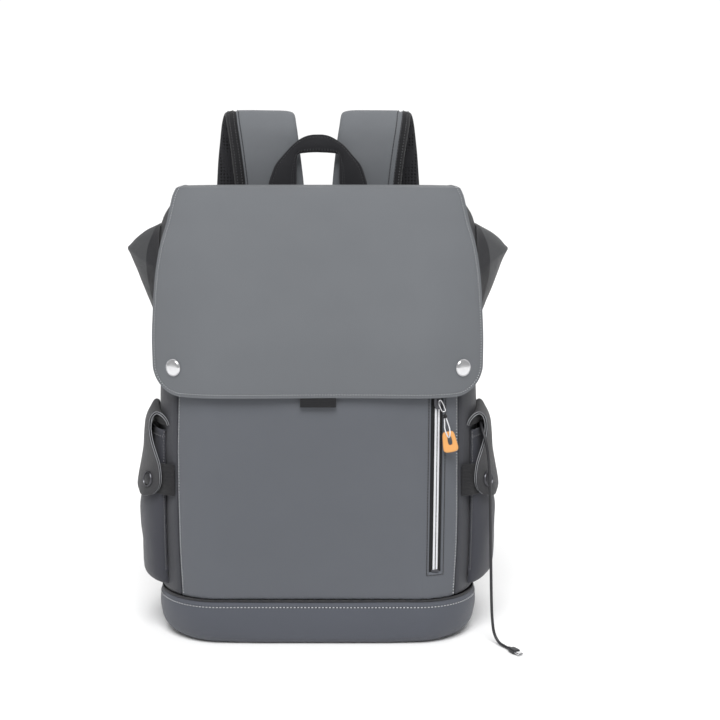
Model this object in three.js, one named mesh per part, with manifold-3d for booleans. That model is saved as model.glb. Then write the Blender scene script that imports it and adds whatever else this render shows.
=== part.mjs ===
// A flap-top backpack with a USB charging lead, in millimetres.
// +Z up, +Y towards the wearer, +X to the right seen from the front.
// The origin is the middle of the flat base.
import * as THREE from 'three';
import { ConvexGeometry } from 'three/addons/geometries/ConvexGeometry.js';
import { mergeVertices } from 'three/addons/utils/BufferGeometryUtils.js';
import Module from 'manifold-3d';

// ---------------------------------------------------------------- driving dimensions

const GAP = 0.35;              // clearance between pieces that touch
const CURVE_GAP = 0.6;         // the same, between a flat disc and curved cloth
const WALL = 3;                // coated cloth on foam
const THIN = 2.2;              // pocket cloth
const BACK_Y = 70;             // outer face of the back panel
const BACK_RADIUS = 25;        // plan radius of the rear corners

// The body from the floor up: height, half width, front face y, front corner radius.
const BODY_ROWS = [
  [0, 156.5, -77, 60],
  [43.9, 156.5, -77, 60],
  [44, 155, -75, 60],
  [100, 157, -77, 60],
  [180, 156, -79, 60],
  [245, 154.5, -79, 60],
  [300, 154, -75, 60],
  [350, 155, -64, 56],
  [394, 155.5, -46, 50],
  [412, 150, -35, 43],
  [428, 139, -24, 36],
];
const BASE_TOP = 43.6;         // seam between the base band and the walls
const WALL_FOOT = 44;
const COLLAR_FOOT = 330;       // the dark collar starts here on each side
const MOUTH_Z = 428;           // rim of the main opening
const BACK_TOP = 432;
const BASE_ROUND = 12;         // rounded lower edge of the base band
const BOARD_THICK = 2;
const SIDE_SEAM = 0.3285;      // front side seam, as a share of the half outline
const BACK_SEAM = 0.644;
const RING_STEPS = 20;         // points of a ring on each half of the outline

// The flap front from its bottom edge up: height, half width, middle y, how far its
// side edges stand back from the middle.
const FLAP_ROWS = [
  [245, 157, -85.5, 26],
  [273, 157.3, -84.5, 26],
  [300, 157.5, -82, 26],
  [325, 156.7, -76.5, 24],
  [347, 155.5, -70.5, 21],
  [367, 153.5, -63.5, 18],
  [389, 149.6, -55, 13],
  [407, 144.5, -45.5, 9],
  [424, 141, -35.5, 5],
  [434, 138.5, -27, 2],
  [438.5, 136.4, -20.5, 0],
];
const FLAP_FLAT = 92;          // half of the flap's flat middle
const FLAP_CORNER = 28;        // radius of its lower corners
const FLAP_THICK = 3;
const FLAP_TOP_Y = [-17.6, 66.5];
const FLAP_TOP_Z = [439, 436.8];
const FLAP_TOP_HALF = [136.4, 133];
const SNAP_X = 136;
const SNAP_Z = 272.5;
const SNAP_RADIUS = 8.3;
const SNAP_THICK = 3;
const SOCKET_RADIUS = 5;
const SOCKET_THICK = 1.8;

// Side pocket: the stretch of the outline that it covers, and how far it stands out.
const POCKET_SPAN = [155, 258];
const POCKET_TOP = 208;
const POCKET_RISE = 5;         // how much higher the mouth is at the rear
const POCKET_FOOT = 45;
const POCKET_ROUND = 24;
const POCKET_ROWS = [[45, 19.5], [100, 19.5], [125, 19], [150, 14.5], [165, 12.6], [185, 10.8], [208, 9]];
const ELASTIC_SPAN = [141, 161];
const ELASTIC_Z = [141, 172];

const ZIP_X = [107, 118.6];
const ZIP_Z = [72, 258];
const ZIP_MIDDLE = 112.8;
const SLIDER_Z = 244.5;

// ---------------------------------------------------------------- helpers

const group = new THREE.Group();
const wasm = await Module();
wasm.setup();

const vec = (x, y, z) => new THREE.Vector3(x, y, z);
const mix = THREE.MathUtils.lerp;
const rad = THREE.MathUtils.degToRad;
const { smoothstep } = THREE.MathUtils;

function steps(from, to, count) {
  return Array.from({ length: count + 1 }, (_, i) => mix(from, to, i / count));
}

/** The values of a table at a height, between its two nearest rows. */
function rowAt(rows, height) {
  let i = 0;
  while (i < rows.length - 2 && rows[i + 1][0] < height) i += 1;
  const t = THREE.MathUtils.clamp((height - rows[i][0]) / (rows[i + 1][0] - rows[i][0]), 0, 1);
  return rows[i].slice(1).map((value, k) => mix(value, rows[i + 1][k + 1], t));
}

/** The heights of a table's rows between two limits, with the limits. */
function heightsBetween(rows, low, high) {
  const inner = rows.map((row) => row[0]).filter((z) => z > low + 0.5 && z < high - 0.5);
  return [low, ...inner, high];
}

function indexed(points, faces) {
  const geometry = new THREE.BufferGeometry();
  const flat = points.flatMap((p) => [p.x, p.y, p.z]);
  let volume = 0;
  for (const [a, b, c] of faces) {
    volume += points[a].dot(vec(0, 0, 0).crossVectors(points[b], points[c]));
  }
  const outward = volume < 0 ? faces.map(([a, b, c]) => [a, c, b]) : faces;
  geometry.setAttribute('position', new THREE.Float32BufferAttribute(flat, 3));
  geometry.setIndex(outward.flat());
  return geometry;
}

/** A closed solid between two grids of points, [row][column]. */
function shell(outer, inner) {
  const rows = outer.length;
  const columns = outer[0].length;
  const half = rows * columns;
  const faces = [];
  const quad = (a, b, c, d) => faces.push([a, b, c], [a, c, d]);
  for (let r = 0; r < rows - 1; r += 1) {
    for (let c = 0; c < columns - 1; c += 1) {
      const a = r * columns + c;
      quad(a, a + 1, a + 1 + columns, a + columns);
      quad(half + a, half + a + columns, half + a + 1 + columns, half + a + 1);
    }
    const left = r * columns;
    const right = left + columns - 1;
    quad(left, left + columns, half + left + columns, half + left);
    quad(right, half + right, half + right + columns, right + columns);
  }
  for (let c = 0; c < columns - 1; c += 1) {
    const last = (rows - 1) * columns + c;
    quad(c, half + c, half + c + 1, c + 1);
    quad(last, last + 1, half + last + 1, half + last);
  }
  return indexed([...outer.flat(), ...inner.flat()], faces);
}

/** A closed solid through a stack of rings, with a flat cap on the first and the last. */
function stack(rings) {
  const count = rings[0].length;
  const faces = [];
  for (let r = 0; r < rings.length - 1; r += 1) {
    for (let i = 0; i < count; i += 1) {
      const a = r * count + i;
      const b = r * count + ((i + 1) % count);
      faces.push([a, b, b + count], [a, b + count, a + count]);
    }
  }
  const middle = (ring) => ring.reduce((sum, p) => sum.add(p), vec(0, 0, 0)).divideScalar(count);
  const points = [...rings.flat(), middle(rings[0]), middle(rings.at(-1))];
  const lastRing = (rings.length - 1) * count;
  for (let i = 0; i < count; i += 1) {
    const next = (i + 1) % count;
    faces.push([next, i, points.length - 2]);
    faces.push([lastRing + i, lastRing + next, points.length - 1]);
  }
  return indexed(points, faces);
}

/** A grid of points, and its copy moved inwards along the surface's own normals. */
function offsetGrid(grid, thickness) {
  const last = (list) => list.length - 1;
  return grid.map((row, r) => row.map((point, c) => {
    const up = grid[Math.min(r + 1, last(grid))][c].clone().sub(grid[Math.max(r - 1, 0)][c]);
    const across = row[Math.min(c + 1, last(row))].clone().sub(row[Math.max(c - 1, 0)]);
    return point.clone().addScaledVector(up.cross(across).normalize(), thickness);
  }));
}

/** A row across a strip: its points and the strip's normal at each of them. */
function stripRow(from, to, tangentFrom, tangentTo, across) {
  const width = to.clone().sub(from);
  return steps(0, 1, across).map((s) => {
    const tangent = tangentFrom.clone().lerp(tangentTo, s);
    return { point: from.clone().lerp(to, s), normal: tangent.cross(width).normalize() };
  });
}

/** Three points a row across a strip of cloth between two rails, its middle bowed out. */
function railFace(railA, railB, shares, bowAt) {
  const a = new THREE.CatmullRomCurve3(railA);
  const b = new THREE.CatmullRomCurve3(railB);
  return shares.map((t) => {
    const row = stripRow(a.getPoint(t), b.getPoint(t), a.getTangent(t), b.getTangent(t), 2);
    row[1].point.addScaledVector(row[1].normal, bowAt(t));
    return row;
  });
}

/** Rows across a flat strap along a path, whose width lies across x. */
function strapFace(curve, widthAt, shares) {
  return shares.map((t) => {
    const [from, to] = [-0.5, 0.5].map((side) => (
      curve.getPointAt(t).add(vec(side * widthAt(t), 0, 0))
    ));
    return stripRow(from, to, curve.getTangentAt(t), curve.getTangentAt(t), 2);
  });
}

/** The solid of even thickness round some rows of a strip, so that pieces of it can part. */
function strip(face, thickness, firstRow = 0, lastRow = face.length - 1) {
  const rows = face.slice(firstRow, lastRow + 1);
  const surface = (side) => rows.map((row) => row.map(({ point, normal }) => (
    point.clone().addScaledVector(normal, side * thickness / 2)
  )));
  return shell(surface(1), surface(-1));
}

function smoothCurve(points) {
  return new THREE.CatmullRomCurve3(points, false, 'centripetal');
}

/** The share of a curve's length at which it is highest. */
function highestShare(curve) {
  const shares = steps(0, 1, 1000);
  return shares.reduce((best, t) => (curve.getPointAt(t).z > curve.getPointAt(best).z ? t : best));
}

function flip(points, side) {
  return points.map(([x, y, z]) => vec(side * x, y, z));
}

/** An outline in the X-Z plane, given a thickness along Y, its middle at y. */
function plate(shape, y, thickness, curveSegments = 6) {
  const geometry = new THREE.ExtrudeGeometry(shape, {
    depth: thickness, bevelEnabled: false, curveSegments,
  });
  return geometry.rotateX(Math.PI / 2).translate(0, y + thickness / 2, 0);
}

function roundedRectangle(halfWidth, halfHeight, radius, x = 0, z = 0, Kind = THREE.Shape) {
  const outline = new Kind();
  const w = halfWidth - radius;
  const h = halfHeight - radius;
  outline.absarc(x + w, z + h, radius, 0, rad(90));
  outline.absarc(x - w, z + h, radius, rad(90), rad(180));
  outline.absarc(x - w, z - h, radius, rad(180), rad(270));
  outline.absarc(x + w, z - h, radius, rad(270), rad(360));
  return outline;
}

function disc(radius, height, centre, axis, segments = 20) {
  const turn = new THREE.Quaternion().setFromUnitVectors(vec(0, 1, 0), axis.clone().normalize());
  const geometry = new THREE.CylinderGeometry(radius * 0.8, radius, height, segments);
  return geometry.applyQuaternion(turn).translate(centre.x, centre.y, centre.z);
}

function tube(points, diameter, sides, stepLength) {
  const curve = new THREE.CatmullRomCurve3(points, false, 'centripetal');
  const section = new THREE.Shape();
  section.absarc(0, 0, diameter / 2, 0, Math.PI * 2);
  return new THREE.ExtrudeGeometry(section, {
    steps: Math.round(curve.getLength() / stepLength),
    curveSegments: sides,
    extrudePath: curve,
  });
}

function toSolid(geometry) {
  const bare = geometry.clone();
  bare.deleteAttribute('normal');
  bare.deleteAttribute('uv');
  const merged = mergeVertices(bare, 1e-4);
  return new wasm.Manifold(new wasm.Mesh({
    numProp: 3,
    vertProperties: new Float32Array(merged.attributes.position.array),
    triVerts: new Uint32Array(merged.index.array),
  }));
}

function cut(geometry, tool) {
  const mesh = toSolid(geometry).subtract(toSolid(tool)).getMesh();
  const result = new THREE.BufferGeometry();
  result.setAttribute('position', new THREE.Float32BufferAttribute(mesh.vertProperties, 3));
  result.setIndex([...mesh.triVerts]);
  return result;
}

function material(color, roughness, metalness = 0) {
  return new THREE.MeshStandardMaterial({ color, roughness, metalness });
}

const CLOTH_GREY = material(0x6e7278, 0.62);
const CLOTH_DARK = material(0x4d4d50, 0.65);
const WEBBING = material(0x2a2a2e, 0.85);
const MESH_BLACK = material(0x141416, 0.9);
const STEEL = material(0xc8c8ca, 0.25, 1);
const DARK_METAL = material(0x38383b, 0.35, 0.8);
const PLASTIC = material(0x1b1b1d, 0.5);
const BOARD = material(0x8b8b88, 0.8);
const LEATHER = material(0xe8a860, 0.6);
const SILVER_TAPE = material(0xbfc1c4, 0.35, 0.3);

function add(name, geometry, surface) {
  const mesh = new THREE.Mesh(geometry, surface);
  mesh.name = name;
  group.add(mesh);
}

const SIDES = [['left', -1], ['right', 1]];

// ---------------------------------------------------------------- body outline

/** The five stretches of half the outline: front, corner, side, rear corner, back. */
function outlineAt(z) {
  const [halfWidth, front, radius] = rowAt(BODY_ROWS, z);
  const corner = vec(halfWidth - radius, front + radius, 0);
  const rear = vec(halfWidth - BACK_RADIUS, BACK_Y - BACK_RADIUS, 0);
  const quarter = Math.PI / 2;
  const lengths = [corner.x, radius * quarter, rear.y - corner.y, BACK_RADIUS * quarter, rear.x];
  return { halfWidth, front, radius, corner, rear, lengths, total: lengths.reduce((a, b) => a + b) };
}

/** The point at a distance along the half outline from the front's middle, moved inwards. */
function rimPoint(z, distance, inset = 0, side = 1) {
  const o = outlineAt(z);
  let leg = 0;
  let rest = distance;
  while (leg < 4 && rest > o.lengths[leg]) {
    rest -= o.lengths[leg];
    leg += 1;
  }
  const t = rest / o.lengths[leg];
  const angle = t * Math.PI / 2;
  const r = o.radius - inset;
  const rb = BACK_RADIUS - inset;
  const places = [
    () => [mix(0, o.corner.x, t), o.front + inset],
    () => [o.corner.x + r * Math.sin(angle), o.corner.y - r * Math.cos(angle)],
    () => [o.halfWidth - inset, mix(o.corner.y, o.rear.y, t)],
    () => [o.rear.x + rb * Math.cos(angle), o.rear.y + rb * Math.sin(angle)],
    () => [mix(o.rear.x, 0, t), BACK_Y - inset],
  ];
  const [x, y] = places[leg]();
  return vec(side * x, y, z);
}

/** Signed distances along the outline: negative ones lie on the left half. */
function wallGrid(heights, shares, inset) {
  return heights.map((z) => shares.map((share) => {
    const distance = Math.abs(share) * outlineAt(z).total;
    return rimPoint(z, distance, inset, share < 0 ? -1 : 1);
  }));
}

function wall(heights, shares, thickness = WALL) {
  return shell(wallGrid(heights, shares, 0), wallGrid(heights, shares, thickness));
}

// ---------------------------------------------------------------- base and walls

/** A ring round the outline, at a height and an inset from it. */
function outlineRing(z, inset) {
  const { total } = outlineAt(z);
  const half = steps(0, 1, RING_STEPS).map((share) => share * total);
  const right = half.map((distance) => rimPoint(z, distance, inset, 1));
  const left = half.slice(1, -1).reverse().map((distance) => rimPoint(z, distance, inset, -1));
  return [...right, ...left];
}

function baseShell() {
  const rounded = [0, 30, 60, 90].map(rad).map((angle) => (
    outlineRing(BASE_ROUND * (1 - Math.cos(angle)), BASE_ROUND * (1 - Math.sin(angle)))
  ));
  const inside = [
    outlineRing(BASE_TOP, WALL),
    outlineRing(BASE_ROUND, WALL),
    outlineRing(WALL, BASE_ROUND),
  ];
  return stack([...rounded, outlineRing(BASE_TOP, 0), ...inside]);
}

const SEAM_GAP = 0.0008;       // the seam's clearance, as a share of the half outline
const bodyHeights = (low, high) => heightsBetween(BODY_ROWS, low, high);

function frontPanel() {
  const right = [0, 0.12, 0.2285, 0.26, 0.29, SIDE_SEAM - SEAM_GAP];
  const shares = [...right.slice(1).reverse().map((share) => -share), ...right];
  const slot = new THREE.BoxGeometry(ZIP_X[1] - ZIP_X[0], 30, ZIP_Z[1] - ZIP_Z[0]);
  slot.translate((ZIP_X[0] + ZIP_X[1]) / 2, -75, (ZIP_Z[0] + ZIP_Z[1]) / 2);
  return cut(wall(bodyHeights(WALL_FOOT, MOUTH_Z), shares), slot);
}

function sideShares(side) {
  const inner = [0.36, 0.4, 0.448, 0.52, 0.595, 0.62];
  const shares = [SIDE_SEAM + SEAM_GAP, ...inner, BACK_SEAM - SEAM_GAP];
  return shares.map((share) => side * share);
}

function backPanel() {
  const right = [BACK_SEAM + SEAM_GAP, 0.667, 0.69, 0.85, 1];
  const left = right.slice(0, -1).reverse().map((share) => -share);
  return wall(bodyHeights(WALL_FOOT, BACK_TOP), [...right, ...left], 4);
}

add('base_shell', baseShell(), CLOTH_GREY);
add('front_panel', frontPanel(), CLOTH_GREY);
add('back_panel', backPanel(), CLOTH_DARK);
for (const [name, side] of SIDES) {
  add(`${name}_side_panel`, wall(bodyHeights(WALL_FOOT, COLLAR_FOOT - GAP), sideShares(side)), CLOTH_GREY);
  add(`${name}_collar_gusset`, wall(bodyHeights(COLLAR_FOOT, MOUTH_Z), sideShares(side)), WEBBING);
}

const BOARD_Z = [WALL + GAP, WALL + GAP + BOARD_THICK];
const BOARD_INSET = BASE_ROUND + 2;
add('base_board', stack(BOARD_Z.map((z) => outlineRing(z, BOARD_INSET))), BOARD);

const DIVIDER_Y = [44, 49];
const DIVIDER_MIDDLE = (DIVIDER_Y[0] + DIVIDER_Y[1]) / 2;
const divider = roundedRectangle(124, 145, 14, 0, 155);
add('laptop_divider', plate(divider, DIVIDER_MIDDLE, DIVIDER_Y[1] - DIVIDER_Y[0]), CLOTH_DARK);

// ---------------------------------------------------------------- flap

/** Height of the flap's bottom edge, which turns up round the lower corners. */
function flapFoot(x) {
  const [halfWidth] = rowAt(FLAP_ROWS, FLAP_ROWS[0][0]);
  const past = Math.max(0, Math.abs(x) - (halfWidth - FLAP_CORNER));
  return FLAP_ROWS[0][0] + FLAP_CORNER - Math.sqrt(FLAP_CORNER ** 2 - Math.min(past, FLAP_CORNER) ** 2);
}

function flapPoint(share, z) {
  const [halfWidth, middle, back] = rowAt(FLAP_ROWS, z);
  const x = share * halfWidth;
  const bend = Math.max(0, (Math.abs(x) - FLAP_FLAT) / (halfWidth - FLAP_FLAT));
  return vec(x, middle + back * bend * bend, z);
}

function flapFront() {
  const half = [0, 0.3, 0.58, 0.7, 0.8, 0.87, 0.93, 0.97, 1];
  const shares = [...half.slice(1).reverse().map((share) => -share), ...half];
  const crease = FLAP_ROWS.at(-1)[0];
  const heights = FLAP_ROWS.map((row) => (row[0] - FLAP_ROWS[0][0]) / (crease - FLAP_ROWS[0][0]));
  const face = heights.map((t) => shares.map((share) => {
    const foot = flapFoot(share * FLAP_ROWS[0][1]);
    return flapPoint(share, mix(foot, crease, t));
  }));
  return shell(face, offsetGrid(face, FLAP_THICK));
}

function flapTop() {
  const face = steps(0, 1, 3).map((t) => steps(-1, 1, 6).map((s) => vec(
    s * mix(FLAP_TOP_HALF[0], FLAP_TOP_HALF[1], t),
    mix(FLAP_TOP_Y[0], FLAP_TOP_Y[1], t),
    mix(FLAP_TOP_Z[0], FLAP_TOP_Z[1], t),
  )));
  const under = face.map((row) => row.map((p) => p.clone().setZ(p.z - FLAP_THICK)));
  return shell(face, under);
}

add('flap_top', flapTop(), CLOTH_GREY);
add('flap_front', flapFront(), CLOTH_GREY);

for (const [name, side] of SIDES) {
  const share = side * SNAP_X / rowAt(FLAP_ROWS, SNAP_Z)[0];
  const onFlap = flapPoint(share, SNAP_Z);
  const across = flapPoint(share + 0.02, SNAP_Z).sub(flapPoint(share - 0.02, SNAP_Z));
  const outwards = vec(across.y, -across.x, 0).normalize();
  const capCentre = onFlap.clone().addScaledVector(outwards, SNAP_THICK / 2 + CURVE_GAP);
  add(`${name}_flap_snap_cap`, disc(SNAP_RADIUS, SNAP_THICK, capCentre, outwards, 24), STEEL);
  const inwards = FLAP_THICK + SOCKET_THICK / 2 + CURVE_GAP;
  const socketCentre = onFlap.clone().addScaledVector(outwards, -inwards);
  add(`${name}_flap_snap_socket`, disc(SOCKET_RADIUS, SOCKET_THICK, socketCentre, outwards), STEEL);
}

const FRONT_TAB_Z = [236.5, 262];
const FRONT_TAB_HALF = [17, (FRONT_TAB_Z[1] - FRONT_TAB_Z[0]) / 2];
const tabShape = roundedRectangle(...FRONT_TAB_HALF, 3, 0, FRONT_TAB_Z[0] + FRONT_TAB_HALF[1]);
add('front_tab', plate(tabShape, -80.4, 1.6), WEBBING);

// ---------------------------------------------------------------- ears of the folded collar

const EAR_CORNERS = [
  [156.6, -6, 397], [156.6, 24, 397], [156.6, -22, 360], [156.6, 40, 362],
  [156.6, -4, 318], [156.6, 20, 318], [167, -24, 361], [167, 41, 363],
  [186.5, 5, 380], [186.5, 12, 380], [187, 8, 375], [163, -2, 320], [163, 18, 320],
];
for (const [name, side] of SIDES) {
  add(`${name}_folded_ear`, new ConvexGeometry(flip(EAR_CORNERS, side)), CLOTH_GREY);
}

// ---------------------------------------------------------------- side pockets

/** A point of the pocket's wall: around it from front to rear, and up from its foot. */
function pocketPoint(turn, rise, inset, side) {
  const { pocketZ, scale } = rise;
  const half = (POCKET_SPAN[1] - POCKET_SPAN[0]) / 2 - inset;
  const middle = (POCKET_SPAN[0] + POCKET_SPAN[1]) / 2;
  const [depth] = rowAt(POCKET_ROWS, pocketZ);
  const out = 2 * GAP + Math.max(0, (depth - inset) * Math.sin(turn) * scale);
  return rimPoint(pocketZ, middle - half * Math.cos(turn), -out, side);
}

function pocketGrid(inset, side) {
  const foot = POCKET_FOOT + inset;
  const round = POCKET_ROUND - inset;
  const curved = steps(0, 90, 4).map((angle) => ({
    pocketZ: foot + round * (1 - Math.cos(rad(angle))),
    scale: Math.sin(rad(angle)) ** 0.6,
  }));
  const straight = [95, 125, 150, 180].map((pocketZ) => ({ pocketZ, scale: 1 }));
  const turns = steps(0, Math.PI, 10);
  const rows = [...curved, ...straight].map((rise) => (
    turns.map((turn) => pocketPoint(turn, rise, inset, side))
  ));
  const mouth = turns.map((turn) => {
    const pocketZ = POCKET_TOP + POCKET_RISE * (1 - Math.cos(turn)) / 2;
    return pocketPoint(turn, { pocketZ, scale: 1 }, inset, side);
  });
  return [...rows, mouth];
}

// The tab's two rails, from the sewn root over the mouth and down to its round end.
const TAB_THICK = 3;
const TAB_FRONT = [
  [143.8, -57.5, 213.3], [145.2, -57, 217.3], [147.6, -56, 220.6], [150.7, -54.5, 223.2],
  [155.1, -53, 224.6], [158.8, -52, 222.2], [161, -51.3, 217.8], [161.9, -51, 212],
  [161.5, -52, 205], [159.8, -54, 196.5], [156.5, -57.7, 186.5], [153.4, -60.8, 177],
  [151.7, -63, 166], [151.6, -63, 158.5], [153.8, -61, 151.5], [159, -57, 145.5],
];
const TAB_BACK = [
  [157.2, -9, 219.3], [157, -9, 223], [157.2, -9, 226.2], [158.2, -8.8, 228.6],
  [160.1, -8.5, 228.9], [162, -8.5, 227], [163.7, -9, 222.8], [165.3, -9.5, 216.5],
  [167.1, -10.5, 208.5], [169, -12.5, 198], [170.8, -15, 187], [172.5, -17.5, 177],
  [174.3, -20.5, 166], [175.6, -23.5, 157.5], [176.2, -27.5, 149], [173, -36, 142.5],
];
const TAB_BOW = 3.6;            // how far its middle stands out from the line between the rails
const ROOT_BOW = 6.9;          // the same for the root, which follows the bag's round corner
const TAB_FOLD = 0.25;         // share of the tab where it leaves its fixed root
const TAB_FOLD_GAP = 0.021;
const TAB_ROOT_ROWS = 4;
const TAB_FREE_ROWS = 17;
const TAB_SNAP_ROW = 19;
const TAB_SNAP_PLACE = 0.8;    // of the way from the front rail to the tab's middle
const TAB_SHARES = [
  ...steps(0, TAB_FOLD - TAB_FOLD_GAP, TAB_ROOT_ROWS),
  ...steps(TAB_FOLD + TAB_FOLD_GAP, 1, TAB_FREE_ROWS),
];
const TAB_SNAP = [6.6, 2];     // radius and height of the cap
const BOW_GAP = 1.1;           // clearance between the flat snap and the bowed tab
const STUD = [4.5, 1.2];

/** The elastic's surface on the pocket's front corner, standing out more towards the pocket. */
function elasticGrid(lift, side) {
  return steps(...ELASTIC_Z, 2).map((z) => steps(...ELASTIC_SPAN, 4).map((distance) => {
    const out = 0.4 + (distance - ELASTIC_SPAN[0]) * 0.41 + lift;
    return rimPoint(z, distance, -out, side);
  }));
}

for (const [name, side] of SIDES) {
  add(`${name}_side_pocket`, shell(pocketGrid(0, side), pocketGrid(THIN, side)), CLOTH_GREY);
  add(`${name}_pocket_elastic`, shell(elasticGrid(1, side), elasticGrid(0, side)), WEBBING);

  const bowAt = (share) => side * (
    TAB_BOW * smoothstep(share, TAB_FOLD, 2 * TAB_FOLD)
    - ROOT_BOW * (1 - smoothstep(share, TAB_FOLD / 2, TAB_FOLD))
  );
  const face = railFace(flip(TAB_FRONT, side), flip(TAB_BACK, side), TAB_SHARES, bowAt);
  add(`${name}_tab_root`, strip(face, TAB_THICK, 0, TAB_ROOT_ROWS), CLOTH_DARK);
  add(`${name}_pocket_tab`, strip(face, TAB_THICK, TAB_ROOT_ROWS + 1), CLOTH_DARK);

  const [front, middle] = face[TAB_SNAP_ROW];
  const outwards = middle.normal.clone().multiplyScalar(side);
  const snapPoint = front.point.clone().lerp(middle.point, TAB_SNAP_PLACE);
  const snap = snapPoint.clone().addScaledVector(outwards, TAB_THICK / 2 + TAB_SNAP[1] / 2 + BOW_GAP);
  add(`${name}_tab_snap`, disc(...TAB_SNAP, snap, outwards), DARK_METAL);
  const stud = snapPoint.clone().addScaledVector(outwards, -(TAB_THICK + STUD[1]) / 2 - BOW_GAP);
  add(`${name}_pocket_snap_stud`, disc(...STUD, stud, outwards), DARK_METAL);
}

// ---------------------------------------------------------------- front zip

function zipStrip(halfWidth, low, high, insetOuter, insetInner) {
  const grid = (inset) => heightsBetween(BODY_ROWS, low, high).map((z) => {
    const o = outlineAt(z);
    return steps(-halfWidth, halfWidth, 2).map((dx) => {
      const angle = Math.asin((ZIP_MIDDLE + dx - o.corner.x) / o.radius);
      return rimPoint(z, o.lengths[0] + angle * o.radius, inset);
    });
  });
  return shell(grid(insetOuter), grid(insetInner));
}

add('zip_tape', zipStrip(5, ZIP_Z[0] + GAP, ZIP_Z[1] - GAP, 1.6, 2.6), WEBBING);
add('zip_coil', zipStrip(2.6, ZIP_Z[0] + 3, ZIP_Z[1] - 3, 0.2, 1.2), SILVER_TAPE);
const zipStop = new THREE.BoxGeometry(7, 0.9, 2);
add('zip_bottom_stop', zipStop.translate(ZIP_MIDDLE, -73.6, ZIP_Z[0] + 1.8), DARK_METAL);

const SLIDER_Y = -78.1;
const SLIDER_HALF = [4, 5.5];
const sliderShape = roundedRectangle(...SLIDER_HALF, 2, ZIP_MIDDLE, SLIDER_Z - SLIDER_HALF[1]);
add('zip_slider', plate(sliderShape, SLIDER_Y, 1.6), DARK_METAL);

// The puller, its cord and its tag hang in front of the slider.
const PULL_Y = -80.4;
const PULLER_TOP = vec(ZIP_MIDDLE + 1.5, PULL_Y, 242);
const PULLER_LEAN = rad(24);
const KNOT = vec(119.6, PULL_Y, 227.2);
const TAG_LEAN = rad(11);

function hung(geometry, at, lean) {
  return geometry.translate(0, PULL_Y, 0).rotateY(-lean).translate(at.x, 0, at.z);
}

const puller = roundedRectangle(2.4, 6, 2.2, 0, -5.5);
puller.holes.push(roundedRectangle(1.5, 5.1, 1.4, 0, -5.5, THREE.Path));
add('zip_puller', hung(plate(puller, 0, 1.1), PULLER_TOP, PULLER_LEAN), STEEL);
add('cord_knot', new THREE.SphereGeometry(2.2, 10, 8).translate(KNOT.x, KNOT.y, KNOT.z), WEBBING);

const loop = new THREE.Shape();
loop.moveTo(-1.3, -2.7);
loop.lineTo(1.3, -2.7);
loop.lineTo(3.6, -14.6);
loop.lineTo(-3.6, -14.6);
const loopHole = new THREE.Path();
loopHole.moveTo(0, -5);
loopHole.lineTo(-2.2, -13.4);
loopHole.lineTo(2.2, -13.4);
loop.holes.push(loopHole);
add('tag_cord', hung(plate(loop, 0, 1.3), KNOT, TAG_LEAN), SILVER_TAPE);

const tag = new THREE.Shape();
tag.moveTo(-5.4, -15);
tag.lineTo(5.4, -15);
tag.lineTo(7.6, -31);
tag.quadraticCurveTo(0, -37, -7.6, -31);
tag.holes.push(roundedRectangle(1.9, 4.4, 1.2, 0.4, -24, THREE.Path));
add('leather_tag', hung(plate(tag, 0, 2.6), KNOT, TAG_LEAN), LEATHER);

// ---------------------------------------------------------------- handle

const HANDLE_Y = 74;
const HANDLE_FOOT = 437.6;
const HANDLE_THICK = 7;
const handle = new THREE.Shape();
handle.moveTo(-50.5, HANDLE_FOOT);
handle.quadraticCurveTo(-48, 449, -44, 456);
handle.lineTo(-33, 468);
handle.lineTo(-24, 476.5);
handle.quadraticCurveTo(-14, 488, 0, 488);
handle.quadraticCurveTo(14, 488, 24, 476.5);
handle.lineTo(33, 468);
handle.lineTo(44, 456);
handle.quadraticCurveTo(48, 449, 50.5, HANDLE_FOOT);
handle.lineTo(22, HANDLE_FOOT);
handle.lineTo(21.5, 468);
handle.quadraticCurveTo(0, 474, -21.5, 468);
handle.lineTo(-22, HANDLE_FOOT);
add('top_handle', plate(handle, HANDLE_Y, HANDLE_THICK, 5), WEBBING);

// ---------------------------------------------------------------- back pads and straps

const PAD_THICK = 9;
const YOKE_THICK = 8;
const PAD_Y = BACK_Y + GAP + PAD_THICK / 2;
for (const [name, side] of SIDES) {
  const shape = roundedRectangle(48, 82, 16, side * 62, 300);
  add(`${name}_back_pad`, plate(shape, PAD_Y, PAD_THICK, 4), MESH_BLACK);
}
add('lumbar_pad', plate(roundedRectangle(112, 58, 18, 0, 138), PAD_Y, PAD_THICK, 4), MESH_BLACK);
const yoke = roundedRectangle(94, 20, 6, 0, 410);
add('strap_yoke', plate(yoke, BACK_Y + GAP + YOKE_THICK / 2, YOKE_THICK, 4), CLOTH_GREY);

// Each shoulder strap rises from the yoke, turns over and hangs down the back.
const STRAP_THICK = 9;
const STRAP_PATH = [
  [49.5, 84.2, 412], [50, 84.4, 435], [54, 87, 470], [58, 93, 496], [60.6, 104.5, 508],
  [64.5, 117, 499], [68, 123.5, 474], [72, 126, 434], [79, 124, 380], [88, 116, 310],
  [98, 106, 240], [106, 98, 180],
];
const STRAP_WIDTHS = [71, 72, 71, 66, 57, 48];
const RISER_ROWS = 8;

function strapWidth(share) {
  const place = share * (STRAP_WIDTHS.length - 1);
  const i = Math.min(Math.floor(place), STRAP_WIDTHS.length - 2);
  return mix(STRAP_WIDTHS[i], STRAP_WIDTHS[i + 1], place - i);
}

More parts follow.
